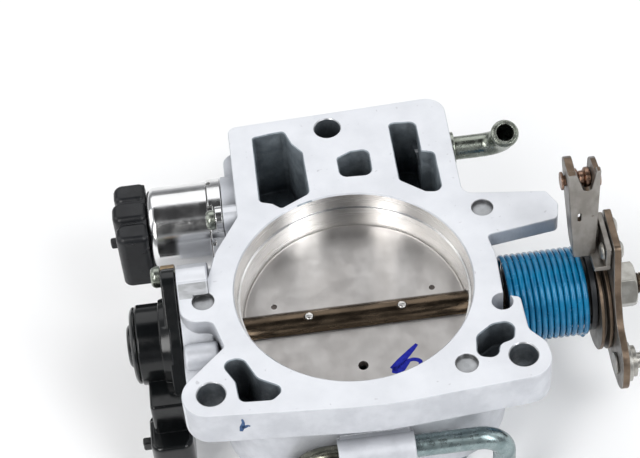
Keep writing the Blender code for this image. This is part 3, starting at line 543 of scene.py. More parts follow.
def ink_finish(name, colour, other):
    """Marker ink that has soaked thinly into metal."""
    return finish(name, colour, other, (0.55, 0.7), 0.0, patch=0.8, depth=0.004, specular=0.15)


FINISHES = {
    "machined": machined_finish(),
    "bored": bored_finish(),
    "cast": finish("cast_aluminium", (0.60, 0.615, 0.65), (0.52, 0.535, 0.57), (0.42, 0.62), 0.5,
                   patch=0.12, grain=1.1, depth=0.09, edge=0.6, worn=(0.80, 0.81, 0.84),
                   dirt_and_shade=(0.27, 0.28, 0.30), reach=5.0),
    # painted shade: the ports and the depths of the bolt holes get a darker copy of the cast finish, near black
    # deep in their hollows
    "port": finish("cast_inside_painted_shade", (0.34, 0.385, 0.42), (0.22, 0.255, 0.285), (0.4, 0.7), 0.5, patch=0.2,
                   grain=1.2, depth=0.12, edge=0.4, dirt_and_shade=(0.012, 0.015, 0.02), reach=10.0),
    "hole": finish("drilled_wall", (0.48, 0.49, 0.51), (0.36, 0.37, 0.38), (0.3, 0.5), 0.9, patch=0.3,
                   stretch=(0.4, 0.4, 3.0), depth=0.03, dirt_and_shade=(0.10, 0.10, 0.10), reach=6.0),
    "shaft": finish("brown_steel", (0.070, 0.052, 0.036), (0.130, 0.096, 0.066), (0.16, 0.30), 0.95,
                    patch=0.16, grain=1.6, depth=0.012, worn=(0.45, 0.36, 0.28),
                    dirt_and_shade=(0.03, 0.022, 0.015), reach=2.0, stretch=(0.35, 1.0, 1.0), scratches=0.12),
    "plate": plate_finish(),
    "steel": finish("bright_steel", (0.74, 0.73, 0.71), (0.60, 0.59, 0.57), (0.22, 0.36), 1.0, patch=0.4,
                    depth=0.01, worn=(0.9, 0.9, 0.9), dirt_and_shade=(0.2, 0.19, 0.18), reach=1.5),
    "chrome": finish("bright_plate", (0.80, 0.80, 0.80), (0.72, 0.72, 0.72), (0.10, 0.20), 1.0,
                     patch=0.10, grain=0.7, depth=0.006, worn=(0.95, 0.95, 0.95), dirt_and_shade=(0.30, 0.30, 0.29),
                     reach=1.5),
    "zinc": finish("olive_zinc", (0.34, 0.365, 0.32), (0.23, 0.25, 0.21), (0.20, 0.34), 1.0, patch=0.25,
                   depth=0.014, worn=(0.72, 0.72, 0.66), dirt_and_shade=(0.10, 0.10, 0.08), reach=2.0),
    "grey_pipe": finish("grey_green_zinc", (0.28, 0.345, 0.35), (0.20, 0.26, 0.265), (0.22, 0.36), 0.95,
                        patch=0.2, depth=0.012, worn=(0.60, 0.66, 0.65), dirt_and_shade=(0.08, 0.10, 0.10),
                        reach=2.0),
    "olive_pipe": finish("dark_olive_zinc", (0.23, 0.225, 0.18), (0.12, 0.12, 0.095), (0.16, 0.30), 1.0,
                         patch=0.2, depth=0.012, worn=(0.68, 0.67, 0.60), dirt_and_shade=(0.06, 0.06, 0.05),
                         reach=2.0),
    "lever": finish("lever_zinc", (0.31, 0.295, 0.275), (0.225, 0.21, 0.19), (0.34, 0.5), 0.9, patch=0.18,
                    grain=1.4, depth=0.02, worn=(0.50, 0.46, 0.41), dirt_and_shade=(0.10, 0.08, 0.065), reach=2.5,
                    stretch=(1.0, 1.0, 0.5), scratches=0.1),
    "brown_edge": finish("sheared_edge", (0.20, 0.150, 0.11), (0.14, 0.103, 0.075), (0.34, 0.5), 0.95,
                         patch=0.25, grain=1.6, depth=0.03, worn=(0.55, 0.43, 0.33),
                         dirt_and_shade=(0.06, 0.04, 0.03), reach=2.0),
    "nut": finish("nut_zinc", (0.44, 0.43, 0.40), (0.34, 0.33, 0.30), (0.28, 0.42), 0.9, patch=0.3,
                  depth=0.012, worn=(0.85, 0.83, 0.78), dirt_and_shade=(0.2, 0.18, 0.15), reach=1.5),
    "copper": finish("copper_turned", (0.34, 0.22, 0.16), (0.25, 0.155, 0.11), (0.24, 0.40), 1.0,
                     patch=0.4, depth=0.012, worn=(0.82, 0.55, 0.42), dirt_and_shade=(0.12, 0.05, 0.03), reach=1.5),
    "bronze": finish("sintered_bronze", (0.36, 0.27, 0.17), (0.26, 0.19, 0.12), (0.38, 0.5), 1.0,
                     patch=0.6, depth=0.03, worn=(0.6, 0.5, 0.36)),
    "spring": finish("blue_wire", (0.003, 0.170, 0.34), (0.001, 0.130, 0.275), (0.18, 0.28), 0.1,
                     patch=0.3, grain=1.2, depth=0.01, edge=0.1, coat=0.2, specular=0.4),
    "black": finish("black_moulding", (0.007, 0.0075, 0.009), (0.012, 0.013, 0.015), (0.26, 0.40), 0.0,
                    patch=0.12, grain=2.4, depth=0.02, edge=0.35, worn=(0.05, 0.05, 0.055),
                    specular=0.32),
    "gloss": finish("glossy_moulding", (0.003, 0.0035, 0.004), (0.006, 0.007, 0.0075), (0.12, 0.22), 0.0,
                    patch=0.10, grain=1.8, depth=0.010, edge=0.4, worn=(0.04, 0.04, 0.043), coat=0.1,
                    specular=0.35),
    "rubber": finish("seal_rubber", (0.015, 0.015, 0.016), (0.03, 0.03, 0.03), (0.6, 0.8), 0.0,
                     depth=0.02),
    "board": finish("resistor_board", (0.03, 0.12, 0.05), (0.05, 0.17, 0.07), (0.4, 0.6), 0.0, patch=0.5),
    "magnet": finish("magnet", (0.05, 0.05, 0.055), (0.08, 0.08, 0.085), (0.4, 0.6), 0.6, patch=0.5),
    # painted shade: near black on the walls of the plate's vent hole and in its punch marks
    "hole_shade": finish("painted_hole_shade", (0.07, 0.06, 0.055), (0.14, 0.12, 0.11), (0.5, 0.7), 0.5, patch=0.8),
    "ink": ink_finish("marker_ink", (0.010, 0.012, 0.26), (0.016, 0.026, 0.36)),
    "faded_ink": ink_finish("faded_ink", (0.030, 0.070, 0.17), (0.060, 0.120, 0.24)),
}


# objects

def boolean(target, tool, operation):
    """Cut a tool out of an object, or weld it on, and keep the result as the object's mesh."""
    mesh = bpy.data.meshes.new("tool")
    tool.to_mesh(mesh)
    tool.free()
    helper = bpy.data.objects.new("tool", mesh)
    bpy.context.collection.objects.link(helper)
    modifier = target.modifiers.new("boolean", "BOOLEAN")
    modifier.operation = operation
    modifier.solver = "EXACT"
    modifier.object = helper
    bpy.context.view_layer.update()
    graph = bpy.context.evaluated_depsgraph_get()
    result = bpy.data.meshes.new_from_object(target.evaluated_get(graph))
    target.modifiers.remove(modifier)
    old = target.data
    target.data = result
    bpy.data.meshes.remove(old)
    bpy.data.objects.remove(helper, do_unlink=True)
    bpy.data.meshes.remove(mesh)


def piece(name, solid, finishes, node, add=(), cut=(), keep=(), choose=None, sharp=38.0, body=None):
    """Make a named piece with its finishes. It stands for a CAD node, or has its own body."""
    mesh = bpy.data.meshes.new(name)
    solid.to_mesh(mesh)
    solid.free()
    part = bpy.data.objects.new(name, mesh)
    bpy.context.collection.objects.link(part)
    for tools, operation in ((add, "UNION"), (cut, "DIFFERENCE"), (keep, "INTERSECT")):
        for tool in tools:
            boolean(part, tool, operation)
    part.data.materials.clear()
    for kind in finishes:
        part.data.materials.append(FINISHES[kind])
    for face in part.data.polygons:
        face.material_index = choose(face.center, face.normal) if choose else 0
    part.data.transform(Matrix.Scale(MM, 4) @ Matrix.Translation(ORIGIN))
    part.data.name = name
    part.data.shade_smooth()
    part.data.set_sharp_from_angle(angle=math.radians(sharp))
    weighted = part.modifiers.new("weighted_normals", "WEIGHTED_NORMAL")
    weighted.keep_sharp = True
    weighted.weight = 60
    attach(part, body or BODY_OF[node])
    if node:
        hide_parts(node)


# casting

def flange_outline():
    """The machined flange with its bolt bosses, ears and the cast arm."""
    return rounded([
        (-69.8, -44.4, 8.6), (3.5, -49.9, 120.0), (58.6, -45.6, 8.3), (57.6, -33.2, 5.5),
        (52.7, -27.2, 4.0), (52.4, -14.0, 1.6), (47.2, -12.2, 0.8), (47.7, 4.0, 20.0), (46.2, 13.4, 1.6),
        (70.6, 16.9, 2.4), (71.9, 23.4, 3.0), (68.8, 29.5, 1.5), (41.2, 33.2, 4.0), (41.2, 79.7, 7.0),
        (-35.3, 76.7, 3.0), (-35.2, 34.8, 2.5), (-43.6, 20.6, 14.0), (-47.5, 8.6, 3.0),
        (-57.4, 6.7, 6.4), (-57.0, -7.4, 6.4), (-46.8, -8.4, 3.0), (-43.8, -19.3, 1.6),
    ])


def port_outlines():
    """The five ports in the flange face with their depths."""
    large = rounded([
        (-26.9, 70.3, 1.0), (-21.0, 71.2, 3.0), (-16.0, 71.6, 1.5), (-14.0, 65.5, 2.0), (-10.6, 60.6, 2.0),
        (-10.1, 41.6, 2.2), (-20.0, 36.4, 1.2), (-22.8, 38.9, 1.2), (-27.0, 40.4, 1.6),
    ])
    middle = rounded([
        (1.2, 55.9, 1.2), (6.0, 58.2, 2.0), (12.2, 58.4, 2.4), (12.2, 46.6, 2.6), (1.4, 47.2, 2.6),
    ])
    stepped = rounded([
        (20.9, 69.4, 1.6), (30.0, 68.6, 2.6), (30.1, 54.6, 0.8), (34.4, 53.2, 1.8), (34.6, 35.0, 2.6),
        (29.0, 36.2, 1.5), (21.1, 42.6, 1.6),
    ])
    left_kidney = rounded([
        (-45.4, -25.6, 2.4), (-38.6, -24.4, 3.4), (-34.6, -33.4, 5.0), (-26.2, -38.4, 2.2),
        (-30.4, -42.1, 2.4), (-40.6, -41.4, 2.4), (-41.2, -33.6, 3.0),
    ])
    right_kidney = rounded([
        (36.0, -27.6, 2.8), (41.6, -23.6, 4.0), (48.8, -23.2, 3.0), (47.4, -30.2, 2.4),
        (42.6, -31.6, 3.0), (41.2, -36.8, 2.6), (35.0, -35.2, 2.6),
    ])
    return ((large, 30.0), (middle, 22.0), (stepped, 26.0), (left_kidney, 21.0), (right_kidney, 11.5))


def sensor_outline():
    """The oval flange of the position sensor, in the YZ plane."""
    y, z = SENSOR_EAR
    reach = 1.52
    wide = 10.6
    ear = 6.6
    corners = []
    for side in (1, -1):
        corners += [
            (side * (y * reach - ear), SHAFT_Z + side * (z * reach + ear), ear),
            (side * (y * reach + ear), SHAFT_Z + side * (z * reach - ear), ear),
            (side * wide, SHAFT_Z - side * wide, wide * 0.8),
        ]
    return rounded(corners)


def idle_ears(radius, start, end, soft=0.4):
    """The two screw ears of the idle valve's flange."""
    y, z = IDLE_EAR
    return [rod(start, end, radius, (IDLE_Y + y * side, IDLE_Z + z * side), soft=soft) for side in (1, -1)]


def holes_along_x(places, start, end, radius):
    return [rod(start, end, radius, place, steps=32) for place in places]


def sensor_screw_places():
    return [(SENSOR_EAR[0] * side, SHAFT_Z + SENSOR_EAR[1] * side) for side in (1.35, -1.35)]


def idle_screw_places():
    return [(IDLE_Y + IDLE_EAR[0] * side, IDLE_Z + IDLE_EAR[1] * side) for side in (1, -1)]


CASTING_FINISHES = ("cast", "machined", "bored", "port", "hole")
CAST, MACHINED, BORED, PORT_SHADE, HOLE = range(len(CASTING_FINISHES))


def casting_finish(centre, normal):
    """The casting's finish at a face: milled on top, bored in the throat, a darker cast finish painted as shade
    in the ports and deep in the bolt holes, and cast elsewhere.
    """
    across = math.hypot(centre.x, centre.y)
    if centre.z > -0.5 and normal.z > 0.9:
        return MACHINED
    in_throat = 30.0 < across < MOUTH_R + 1.2 and -BODY_H + 0.3 < centre.z < -0.46
    if in_throat and normal.z > -0.3:
        outward = (normal.x * centre.x + normal.y * centre.y) / across
        if outward < -0.3 or (normal.z > 0.3 and centre.z > -7.0):
            return BORED
    for x, y in BOLT_PLACES + RECESS_PLACES:
        if math.hypot(centre.x - x, centre.y - y) < BOLT_HOLE_R + 0.7:
            # below 2.5 mm the holes take the darker finish as painted shade
            return PORT_SHADE if centre.z < -2.5 else HOLE
    for outline, depth in port_outlines():
        xs, ys = zip(*outline)
        inside = min(xs) - 0.5 < centre.x < max(xs) + 0.5 and min(ys) - 0.5 < centre.y < max(ys) + 0.5
        if inside and -depth - 0.5 < centre.z < 0.05:
            return PORT_SHADE
    if centre.x < SENSOR_X + 0.3 and normal.x < -0.9:
        return MACHINED
    return CAST


def throttle_housing():
    """The aluminium casting with its bore, ports, pads and neck."""
    main_body = rounded([(-48.0, -45.3, 24.0), (46.4, -45.3, 24.0), (46.4, 36.0, 14.0), (-46.0, 33.0, 10.0)])
    port_box = rounded([(-38.4, 30.0, 2.0), (39.6, 30.0, 2.0), (39.6, 77.2, 8.0), (-38.4, 75.4, 5.0)])
    sensor_boss = rounded([(-24.0, -38.5, 6.0), (24.0, -38.5, 8.0), (24.0, -9.6, 4.0), (-24.0, -9.6, 6.0)])
    neck = [
        (-40.0, 0.0), (-40.0, 44.5), (-57.0, 43.2), (-58.4, 45.0), (-62.2, 45.0), (-BODY_H, 43.4),
        (-BODY_H, 0.0),
    ]
    welded = [
        slab(main_body, -43.0, -12.0, low_edge=1.5, high_edge=0.0),
        slab(port_box, -36.0, -12.0, low_edge=1.6, high_edge=0.0),
        turned(neck, along="Z", steps=144, soft=0.8),
        slab(sensor_boss, SENSOR_X, -40.0, "X", 0.5, 0.0),
        slab(sensor_outline(), SENSOR_X + 0.2, -47.0, "X", 0.4, 0.8),
        rod(IDLE_X, -32.0, 15.6, IDLE, steps=84, soft=0.4),
        rod(-12.0, 12.6, 5.4, PIPE, steps=64, soft=0.5),
        box((-11.0, PIPE_Y, PIPE_Z - 5.0), (11.6, -42.0, PIPE_Z + 4.6), 0.6),
        rod(40.0, 47.8, 11.0, SHAFT, steps=72, soft=0.5),
        box((42.0, -3.8, -44.4), (64.4, 4.2, -35.6), 0.8),
        rod(-56.9, -46.0, 4.6, (-15.4, SHAFT_Z + 9.5), steps=48, soft=1.0),
    ]
    welded += idle_ears(4.4, IDLE_X, -34.0)
    bore = [
        (1.0, 0.0), (1.0, MOUTH_R + 1.45), (-0.45, MOUTH_R), (-5.3, BORE_R + 0.6), (-5.6, BORE_R),
        (-44.0, BORE_R), (-BODY_H - 1.0, 39.6), (-BODY_H - 1.0, 0.0),
    ]
    shaft_bore = [
        (SENSOR_X - 1.0, 0.0), (SENSOR_X - 1.0, 8.3), (-44.0, 8.3), (-44.0, SHAFT_R + GAP),
        (39.8, SHAFT_R + GAP), (39.8, 8.3), (49.0, 8.3), (49.0, 0.0),
    ]
    idle_bore = [
        (IDLE_X - 1.0, 0.0), (IDLE_X - 1.0, 9.0), (-33.5, 9.0), (-33.5, 5.4), (-24.0, 5.4), (-24.0, 0.0),
    ]
    coolant_bore = [
        (-13.0, 0.0), (-13.0, 4.0), (-3.8, 4.0), (-3.8, 2.8), (4.4, 2.8), (4.4, 4.0), (14.0, 4.0),
        (14.0, 0.0),
    ]
    cuts = [turned(bore, along="Z", steps=180, soft=0.0)]
    cuts += [pocket(outline, depth) for outline, depth in port_outlines()]
    for x, y in BOLT_PLACES:
        hole = [
            (-44.0, 0.0), (-44.0, BOLT_HOLE_R), (-0.35, BOLT_HOLE_R), (0.4, BOLT_HOLE_R + 0.75), (0.4, 0.0),
        ]
        cuts.append(turned(hole, (x, y), "Z", 48, 0.0))
    for x, y in RECESS_PLACES:
        spot = [(-1.7, 0.0), (-1.4, 1.2), (-1.4, 3.6), (-0.2, 3.6), (0.4, 4.1), (0.4, 0.0)]
        cuts.append(turned(spot, (x, y), "Z", 48, 0.0))
    cuts += [
        box((47.9, 12.0, -15.0), (75.0, 36.0, -6.2), 0.1),
        rod(-15.0, 1.0, 3.5, (46.4, -15.0), "Z"),
        rod(47.9, 60.0, 16.2, SHAFT, steps=96),
        turned(shaft_bore, SHAFT, steps=60, soft=0.0),
        turned(idle_bore, IDLE, steps=60, soft=0.0),
        turned(coolant_bore, PIPE, steps=48, soft=0.0),
        rod(27.0, 42.0, 4.5, NIPPLE),
        rod(-6.0, 6.0, 2.5, STOP, "Y"),
    ]
    cuts += holes_along_x(sensor_screw_places(), SENSOR_X - 1.0, SENSOR_X + 9.0, SCREW_HOLE_R)
    cuts += holes_along_x(idle_screw_places(), IDLE_X - 1.0, IDLE_X + 5.0, SCREW_HOLE_R)
    flange = slab(flange_outline(), -FLANGE_T, 0.0, "Z", 0.6, 0.35)
    piece("casting", flange, CASTING_FINISHES, "throttle_housing", welded, cuts, choose=casting_finish,
          sharp=32.0)


# butterfly valve

def throttle_shaft():
    """The slotted shaft with its sensor tang, lever flats and threaded end."""
    profile = [
        (-68.6, 0.0), (-68.6, 2.8), (-58.6, 3.0), (-58.6, SHAFT_R), (82.9, SHAFT_R), (82.9, 4.0), (93.8, 4.0),
    ]
    pitch = 1.0
    crest = 94.2
    for turn in range(4):
        profile += [(crest + turn * pitch, 3.2), (crest + (turn + 0.5) * pitch, 3.6)]
    profile += [(98.0, 3.1), (98.6, 2.5), (98.6, 0.0)]
    slot = stack([(-37.4, -6.0), (37.4, -6.0), (37.4, 6.0), (-37.4, 6.0)],
                 [(SHAFT_Z - PLATE_T / 2.0 - GAP, 0.0), (SHAFT_Z + PLATE_T / 2.0 + GAP, 0.0)])
    cuts = [spun(slot, PLATE_TILT)]
    for x in PLATE_SCREW_X:
        hole = [(-6.0, 0.0), (-6.0, 4.3), (-3.1, 4.3), (-3.1, 2.8), (3.1, 2.8), (3.1, 1.4), (4.4, 1.4),
                (4.7, 1.8), (6.0, 1.9), (6.0, 0.0)]
        hole = [(SHAFT_Z + place, radius) for place, radius in hole]
        cuts.append(spun(turned(hole, (x, 0.0), "Z", 48, 0.0), PLATE_TILT))
    for start, end, half in ((82.9, 87.0, 3.2), (-70.0, -60.2, 1.9)):
        cuts.append(box((start, half, -26.0), (end, 6.0, -11.0), 0.05))
        cuts.append(box((start, -6.0, -26.0), (end, -half, -11.0), 0.05))
    piece("valve_spindle", turned(profile, SHAFT, steps=72, soft=0.3), ("shaft",), "throttle_shaft", (), cuts)


def throttle_plate():
    """The butterfly disc, whose rim stands parallel to the bore when it is shut."""
    radius = BORE_R - 0.04
    half = PLATE_T / 2.0 / math.cos(PLATE_TILT)
    rim = circle(0.0, 0.0, radius, 180)
    solid = bmesh.new()
    loops = []
    for height, inset in ((-half, 0.35), (-half + 0.15, 0.08), (-half + 0.4, 0.0), (half - 0.5, 0.0),
                          (half - 0.35, 0.06), (half - 0.08, 0.5), (half, 0.8)):
        share = (radius - inset) / radius
        loops.append([
            solid.verts.new((x * share, y * share, SHAFT_Z + y * share * math.tan(PLATE_TILT) + height))
            for x, y in rim
        ])
    close(solid, loops)
    holes = [rod(SHAFT_Z - 5.0, SHAFT_Z + 5.0, 2.8, (x, 0.0), "Z") for x in PLATE_SCREW_X]
    holes.append(rod(SHAFT_Z - 8.0, SHAFT_Z + 5.0, VENT_R, VENT_PLACE, "Z", 32))
    for x, y in PUNCH_PLACES:
        top = SHAFT_Z + y * math.tan(PLATE_TILT) + half
        punch = [(top - 0.5, 0.0), (top - 0.4, 0.9), (top + 1.0, PUNCH_R), (top + 1.0, 0.0)]
        holes.append(turned(punch, (x, y), "Z", 24))

    def mark(centre, _normal):
        """0 sheet, 1 inside a hole or a punch mark, which is painted near black as shade."""
        spots = [(VENT_PLACE, VENT_R + 0.2)] + [(place, PUNCH_R + 0.1) for place in PUNCH_PLACES]
        return int(any(math.hypot(centre.x - x, centre.y - y) < reach for (x, y), reach in spots))

    piece("valve_disc", solid, ("plate", "hole_shade"), "throttle_plate", (), holes, choose=mark)


def plate_screws():
    """Two screws that clamp the plate, with their tips spread on the far side."""
    for index, x in enumerate(PLATE_SCREW_X, start=1):
        profile = [(-6.2, 0.0), (-6.2, 3.2), (-5.6, 4.0), (-3.4, 4.0), (-3.4, 2.5), (2.8, 2.5), (3.0, 1.2),
                   (4.6, 1.2), (4.9, 1.35), (5.15, 0.7), (5.15, 0.0)]
        raised = [(SHAFT_Z + place, radius) for place, radius in profile]
        arms = ((2.2, 0.4, -7.0, -4.9), (0.41, 2.21, -7.1, -4.8), (2.4, 0.15, 4.9, 6.0))
        cross = []
        for wide, deep, low, high in arms:
            outline = [(x - wide, -deep), (x + wide, -deep), (x + wide, deep), (x - wide, deep)]
            cross.append(spun(stack(outline, [(SHAFT_Z + low, 0.0), (SHAFT_Z + high, 0.0)]), PLATE_TILT))
        piece(f"disc_screw_{index}", spun(turned(raised, (x, 0.0), "Z", 40), PLATE_TILT), ("steel",),
              f"plate_screw_{index}", (), cross)


def ink_marks():
    """A tick of marker ink on the plate."""
    plate_up = Vector((0.0, -math.sin(PLATE_TILT), math.cos(PLATE_TILT)))
    lift = PLATE_T / 2.0 / math.cos(PLATE_TILT) + INK_T

    def on_plate(x, y):
        return (x, y, SHAFT_Z + y * math.tan(PLATE_TILT) + lift)

    strokes = (
        ([(18.4, -13.8), (15.4, -16.7), (12.0, -19.8), (9.2, -22.3)], (0.5, 1.0, 1.3, 1.1)),
        ([(9.0, -22.4), (11.4, -22.7), (13.6, -20.8), (15.2, -19.6), (17.2, -19.6), (18.6, -20.6),
          (18.2, -22.4)], (1.1, 1.5, 1.1, 0.65, 0.7, 0.75, 0.5)),
    )
    solid = bmesh.new()
    for path, widths in strokes:
        points = [on_plate(*point) for point in smooth_path(path)]
        ribbon(solid, points, smooth_widths(widths), plate_up)
    piece("plate_ink", solid, ("ink",), None, body="throttle_valve")


def flange_ink():
    """A dab of marker ink on the front side of the flange."""
    left = Vector((-69.8, -44.4, 0.0))
    right = Vector((3.5, -49.9, 0.0))
    along = (right - left).normalized()
    outward = Vector((along.y, -along.x, 0.0))
    solid = bmesh.new()
    for path, widths in (
        ([(29.3, -2.2), (29.5, -4.2), (29.0, -6.4), (28.5, -8.6)], (0.3, 0.5, 0.85, 0.5)),
        ([(28.9, -6.9), (29.9, -6.3), (30.9, -5.9), (31.5, -6.3)], (0.7, 0.75, 0.5, 0.25)),
    ):
        points = [left + along * across + Vector((0.0, 0.0, height)) + outward * 0.02
                  for across, height in smooth_path(path)]
        ribbon(solid, points, smooth_widths(widths), outward)
    piece("flange_ink", solid, ("faded_ink",), None, body="housing")


def smooth_path(points):
    """A Catmull-Rom curve through points in a plane."""
    ends = [points[0]] + list(points) + [points[-1]]
    path = []
    for index in range(1, len(ends) - 2):
        before, here, after, beyond = [Vector(point) for point in ends[index - 1:index + 3]]
        slope = (after - before) / 2.0
        curve = before - 2.5 * here + 2.0 * after - 0.5 * beyond
        twist = (3.0 * here - before - 3.0 * after + beyond) / 2.0
        for step in range(CURVE_STEPS):
            t = step / CURVE_STEPS
            path.append(tuple(here + slope * t + curve * t * t + twist * t ** 3))
    path.append(tuple(points[-1]))
    return path


def smooth_widths(widths):
    """Widths for the points of a smoothed path."""
    result = []
    for one, other in zip(widths, widths[1:]):
        result += [one + (other - one) * step / CURVE_STEPS for step in range(CURVE_STEPS)]
    result.append(widths[-1])
    return result


def ribbon(solid, path, widths, up):
    """Add a thin closed ribbon that follows a path on a surface."""
    rings = []
    count = len(path)
    for index, point in enumerate(path):
        here = Vector(point)
        ahead = Vector(path[min(index + 1, count - 1)]) - Vector(path[max(index - 1, 0)])
        side = ahead.cross(up).normalized() * widths[index]
        down = up * INK_T
        corners = (here + side, here - side, here - side - down, here + side - down)
        rings.append([solid.verts.new(corner) for corner in corners])
    close(solid, rings)


# lever end of the shaft

def return_spring():
    """The close-wound torsion spring: its leg stays in the flange and its hook turns with the lever."""
    wire = 0.93
    mean = 14.05
    first = math.radians(170.0)
    turns = 13.17
    coil_start = 48.95
    coil_length = 26.25
    count = round(turns * 48)
    path = []
    for i in range(count + 1):
        angle = first + 2.0 * math.pi * turns * i / count
        along = coil_start + coil_length * i / count
        path.append((along, mean * math.cos(angle), SHAFT_Z + mean * math.sin(angle)))
    y, z = path[0][1:]
    leg = [
        (45.6, y - 0.6, z + 7.5), (46.0, y - 0.55, z + 6.8), (46.4, y - 0.5, z + 6.0),
        (47.1, y - 0.4, z + 4.7), (47.7, y - 0.3, z + 3.5),
    ]
    fixed = swept(leg, wire, 14)
    piece("blue_spring_leg", fixed, ("spring",), None, sharp=60.0, body="housing")
    last = first + 2.0 * math.pi * turns
    hook = []
    for step, (along, out) in enumerate(((75.3, 0.15), (75.45, 0.6), (75.6, 1.4), (75.6, 2.2), (75.6, 3.0))):
        angle = last + 0.055 * (step + 1)
        reach = mean + out
        hook.append((along, reach * math.cos(angle), SHAFT_Z + reach * math.sin(angle)))
    piece("blue_spring", swept(path + hook, wire, 14), ("spring",), "return_spring", sharp=60.0)


def spring_sleeve():
    """The black sleeve that guides the spring's coils."""
    inner = SHAFT_R + GAP
    profile = [
        (49.4, inner), (49.4, 9.6), (51.4, 11.6), (76.8, 11.6), (76.8, 13.6), (78.6, 13.6), (78.6, inner),
    ]
    piece("guide_sleeve", turned(profile, SHAFT, steps=96), ("black",), "spring_sleeve")


def lever_outline():
    """The lever plate: a hub disc with the cable arm above and the stud arm in front, in the YZ plane."""
    corners = [
        (-9.0, 30.0, 2.0), (9.0, 30.0, 2.0), (11.0, 16.0, 6.0), (18.5, 8.0, 8.0), (18.0, -12.0, 8.0),
        (13.0, -27.0, 4.0), (3.0, -27.0, 4.0), (0.0, -18.5, 4.0), (-20.0, -19.6, 7.6), (-33.4, -16.8, 7.8),
        (-31.6, -0.4, 7.6), (-19.0, 3.6, 8.0), (-13.0, 13.0, 8.0),
    ]
    return rounded([(y, z + SHAFT_Z, radius) for y, z, radius in corners])


def lever_finish(centre, normal):
    """0 face, 1 sheared edge."""
    return 1 if abs(normal.x) < 0.5 and centre.x > LEVER_X - 0.1 else 0


def lever_plate():
    """The stamped lever with the tongue that meets the stop screw."""
    tongue = box((57.0, 7.6, -44.4), (LEVER_X + 1.0, 9.8, -38.2), 0.5)
    hub = rod(*THROUGH_LEVER, 4.3, SHAFT)
    stud_hole = rod(*THROUGH_LEVER, 2.8, STUD)
    rivet_holes = holes_along_x(RIVET_PLACES, *THROUGH_LEVER, RIVET_HOLE_R)
    plate = slab(lever_outline(), LEVER_X, LEVER_X + LEVER_T, "X", 0.35, 0.35)
    piece("lever", plate, ("lever", "brown_edge"), "lever_plate", (tongue,),
          [hub, stud_hole] + rivet_holes, choose=lever_finish)


def cam_finish(centre, _normal):
    """0 groove and faces, 1 rims."""
    out = math.hypot(centre.y + 1.0, centre.z - SHAFT_Z + CAM_DROP)
    return 1 if out > 16.2 else 0


def cable_cam():
    """The grooved cam that the throttle cable wraps."""
    centre = (-1.0, SHAFT_Z - CAM_DROP)
    left = 79.2
    right = LEVER_X - GAP
    profile = [
        (left, 0.0), (left, 17.2), (left + 1.1, 17.2), (left + 1.5, 14.2), (right - 1.5, 14.2),
        (right - 1.1, 17.2), (right, 17.2), (right, 0.0),
    ]
    hub = rod(70.0, 90.0, SHAFT_R + GAP, SHAFT)
    piece("cam", turned(profile, centre, steps=120, soft=0.25), ("lever", "brown_edge"), "cable_cam", (), [hub],
          choose=cam_finish)


def anchor_finish(centre, normal):
    """0 outer faces, 1 sheared edges."""
    return 1 if abs(normal.x) < 0.3 and abs(normal.y) < 0.3 and centre.z > 12.0 else 0


def cable_anchor():
    """The folded channel that holds the cable's end, with a V notch for the cable."""
    low = 0.8
    high = 40.6
    step = 0.1
    foot_left = 72.0
    head_left = 68.6
    outside = 79.2
    right = LEVER_X - GAP

    def lean(solid):
        """Lean the channel's left side outwards towards its top."""
        for vert in solid.verts:
            share = max(0.0, (outside - vert.co.x) / (outside - foot_left))
            vert.co.x -= share * (foot_left - head_left) * (vert.co.z - low) / (high - low)
        return solid

    web = rounded([
        (foot_left, low, 1.0), (outside, low, 0.5), (outside, high + 0.9, 0.5), (78.2, high + 0.9, 0.5),
        (76.6, 27.0, 1.0), (74.6, high - 3.2, 0.8), (74.0, high, 0.6), (foot_left, high, 0.7),
    ])
    cheek = [(-1.2, low + step, 0.35), (7.0, low + step, 3.0), (10.0, 20.0, 4.0)]
    left_cheek = rounded(cheek + [(10.0, high - step, 5.0), (-1.2, high - step, 0.4)])
    right_cheek = rounded(cheek + [(10.0, 38.0, 5.0), (-1.2, high - 2.0 * step, 0.4)])
    foot = box((77.4, -8.4, low - step), (right, 8.4, 2.6), 0.3)
    tab = box((right - 2.0, -8.3, 1.2), (right - step, 8.3, 10.6), 0.3)
    welded = [
        lean(slab(left_cheek, foot_left + step, foot_left + 1.9, "X", 0.2, 0.2)),
        slab(right_cheek, outside - 1.9, outside - step, "X", 0.2, 0.2),
        foot,
        tab,
    ]
    rivet_holes = holes_along_x(RIVET_PLACES, *THROUGH_LEVER, RIVET_HOLE_R)
    pin_hole = rod(60.0, 90.0, 2.0, PIN, steps=40)
    slot_outline = rounded([(72.6, 18.6, 0.5), (73.8, 18.6, 0.5), (73.8, 22.4, 0.5), (72.6, 22.4, 0.5)])
    slot = stack(slot_outline, [(-4.0, 0.0), (3.0, 0.0)], "Y")
    dimple = turned([(-1.35, 0.0), (-1.4, 0.4), (-2.4, 0.8), (-2.4, 0.0)], (77.4, 20.6), "Y", 24, 0.0)
    channel = lean(slab(web, -1.6, 0.4, "Y", 0.25, 0.15))
    piece("cable_channel", channel, ("lever", "brown_edge"), "cable_anchor", welded,
          [pin_hole, slot, dimple] + rivet_holes, choose=anchor_finish)


def cable_pin():
    """The grooved roller that the cable's end sits on."""
    profile = [
        (67.8, 0.0), (67.8, 2.9), (68.6, 2.9), (68.6, 1.7), (71.5, 1.7), (71.5, 3.6), (72.9, 3.6),
        (73.5, 2.6), (74.9, 2.6), (75.5, 3.6), (77.0, 3.6), (77.0, 1.7), (79.6, 1.7), (79.6, 2.9),
        (80.4, 2.9), (80.4, 0.0),
    ]
    piece("cable_roller", turned(profile, PIN, steps=64), ("copper",), "cable_pin")


def thread(start, end, radius, pitch, depth=0.3):
    """The profile of a thread, without its helix."""
    profile = []
    place = start
    while place + pitch < end:
        profile += [(place, radius - depth), (place + pitch * 0.4, radius), (place + pitch * 0.6, radius)]
        place += pitch
    return profile


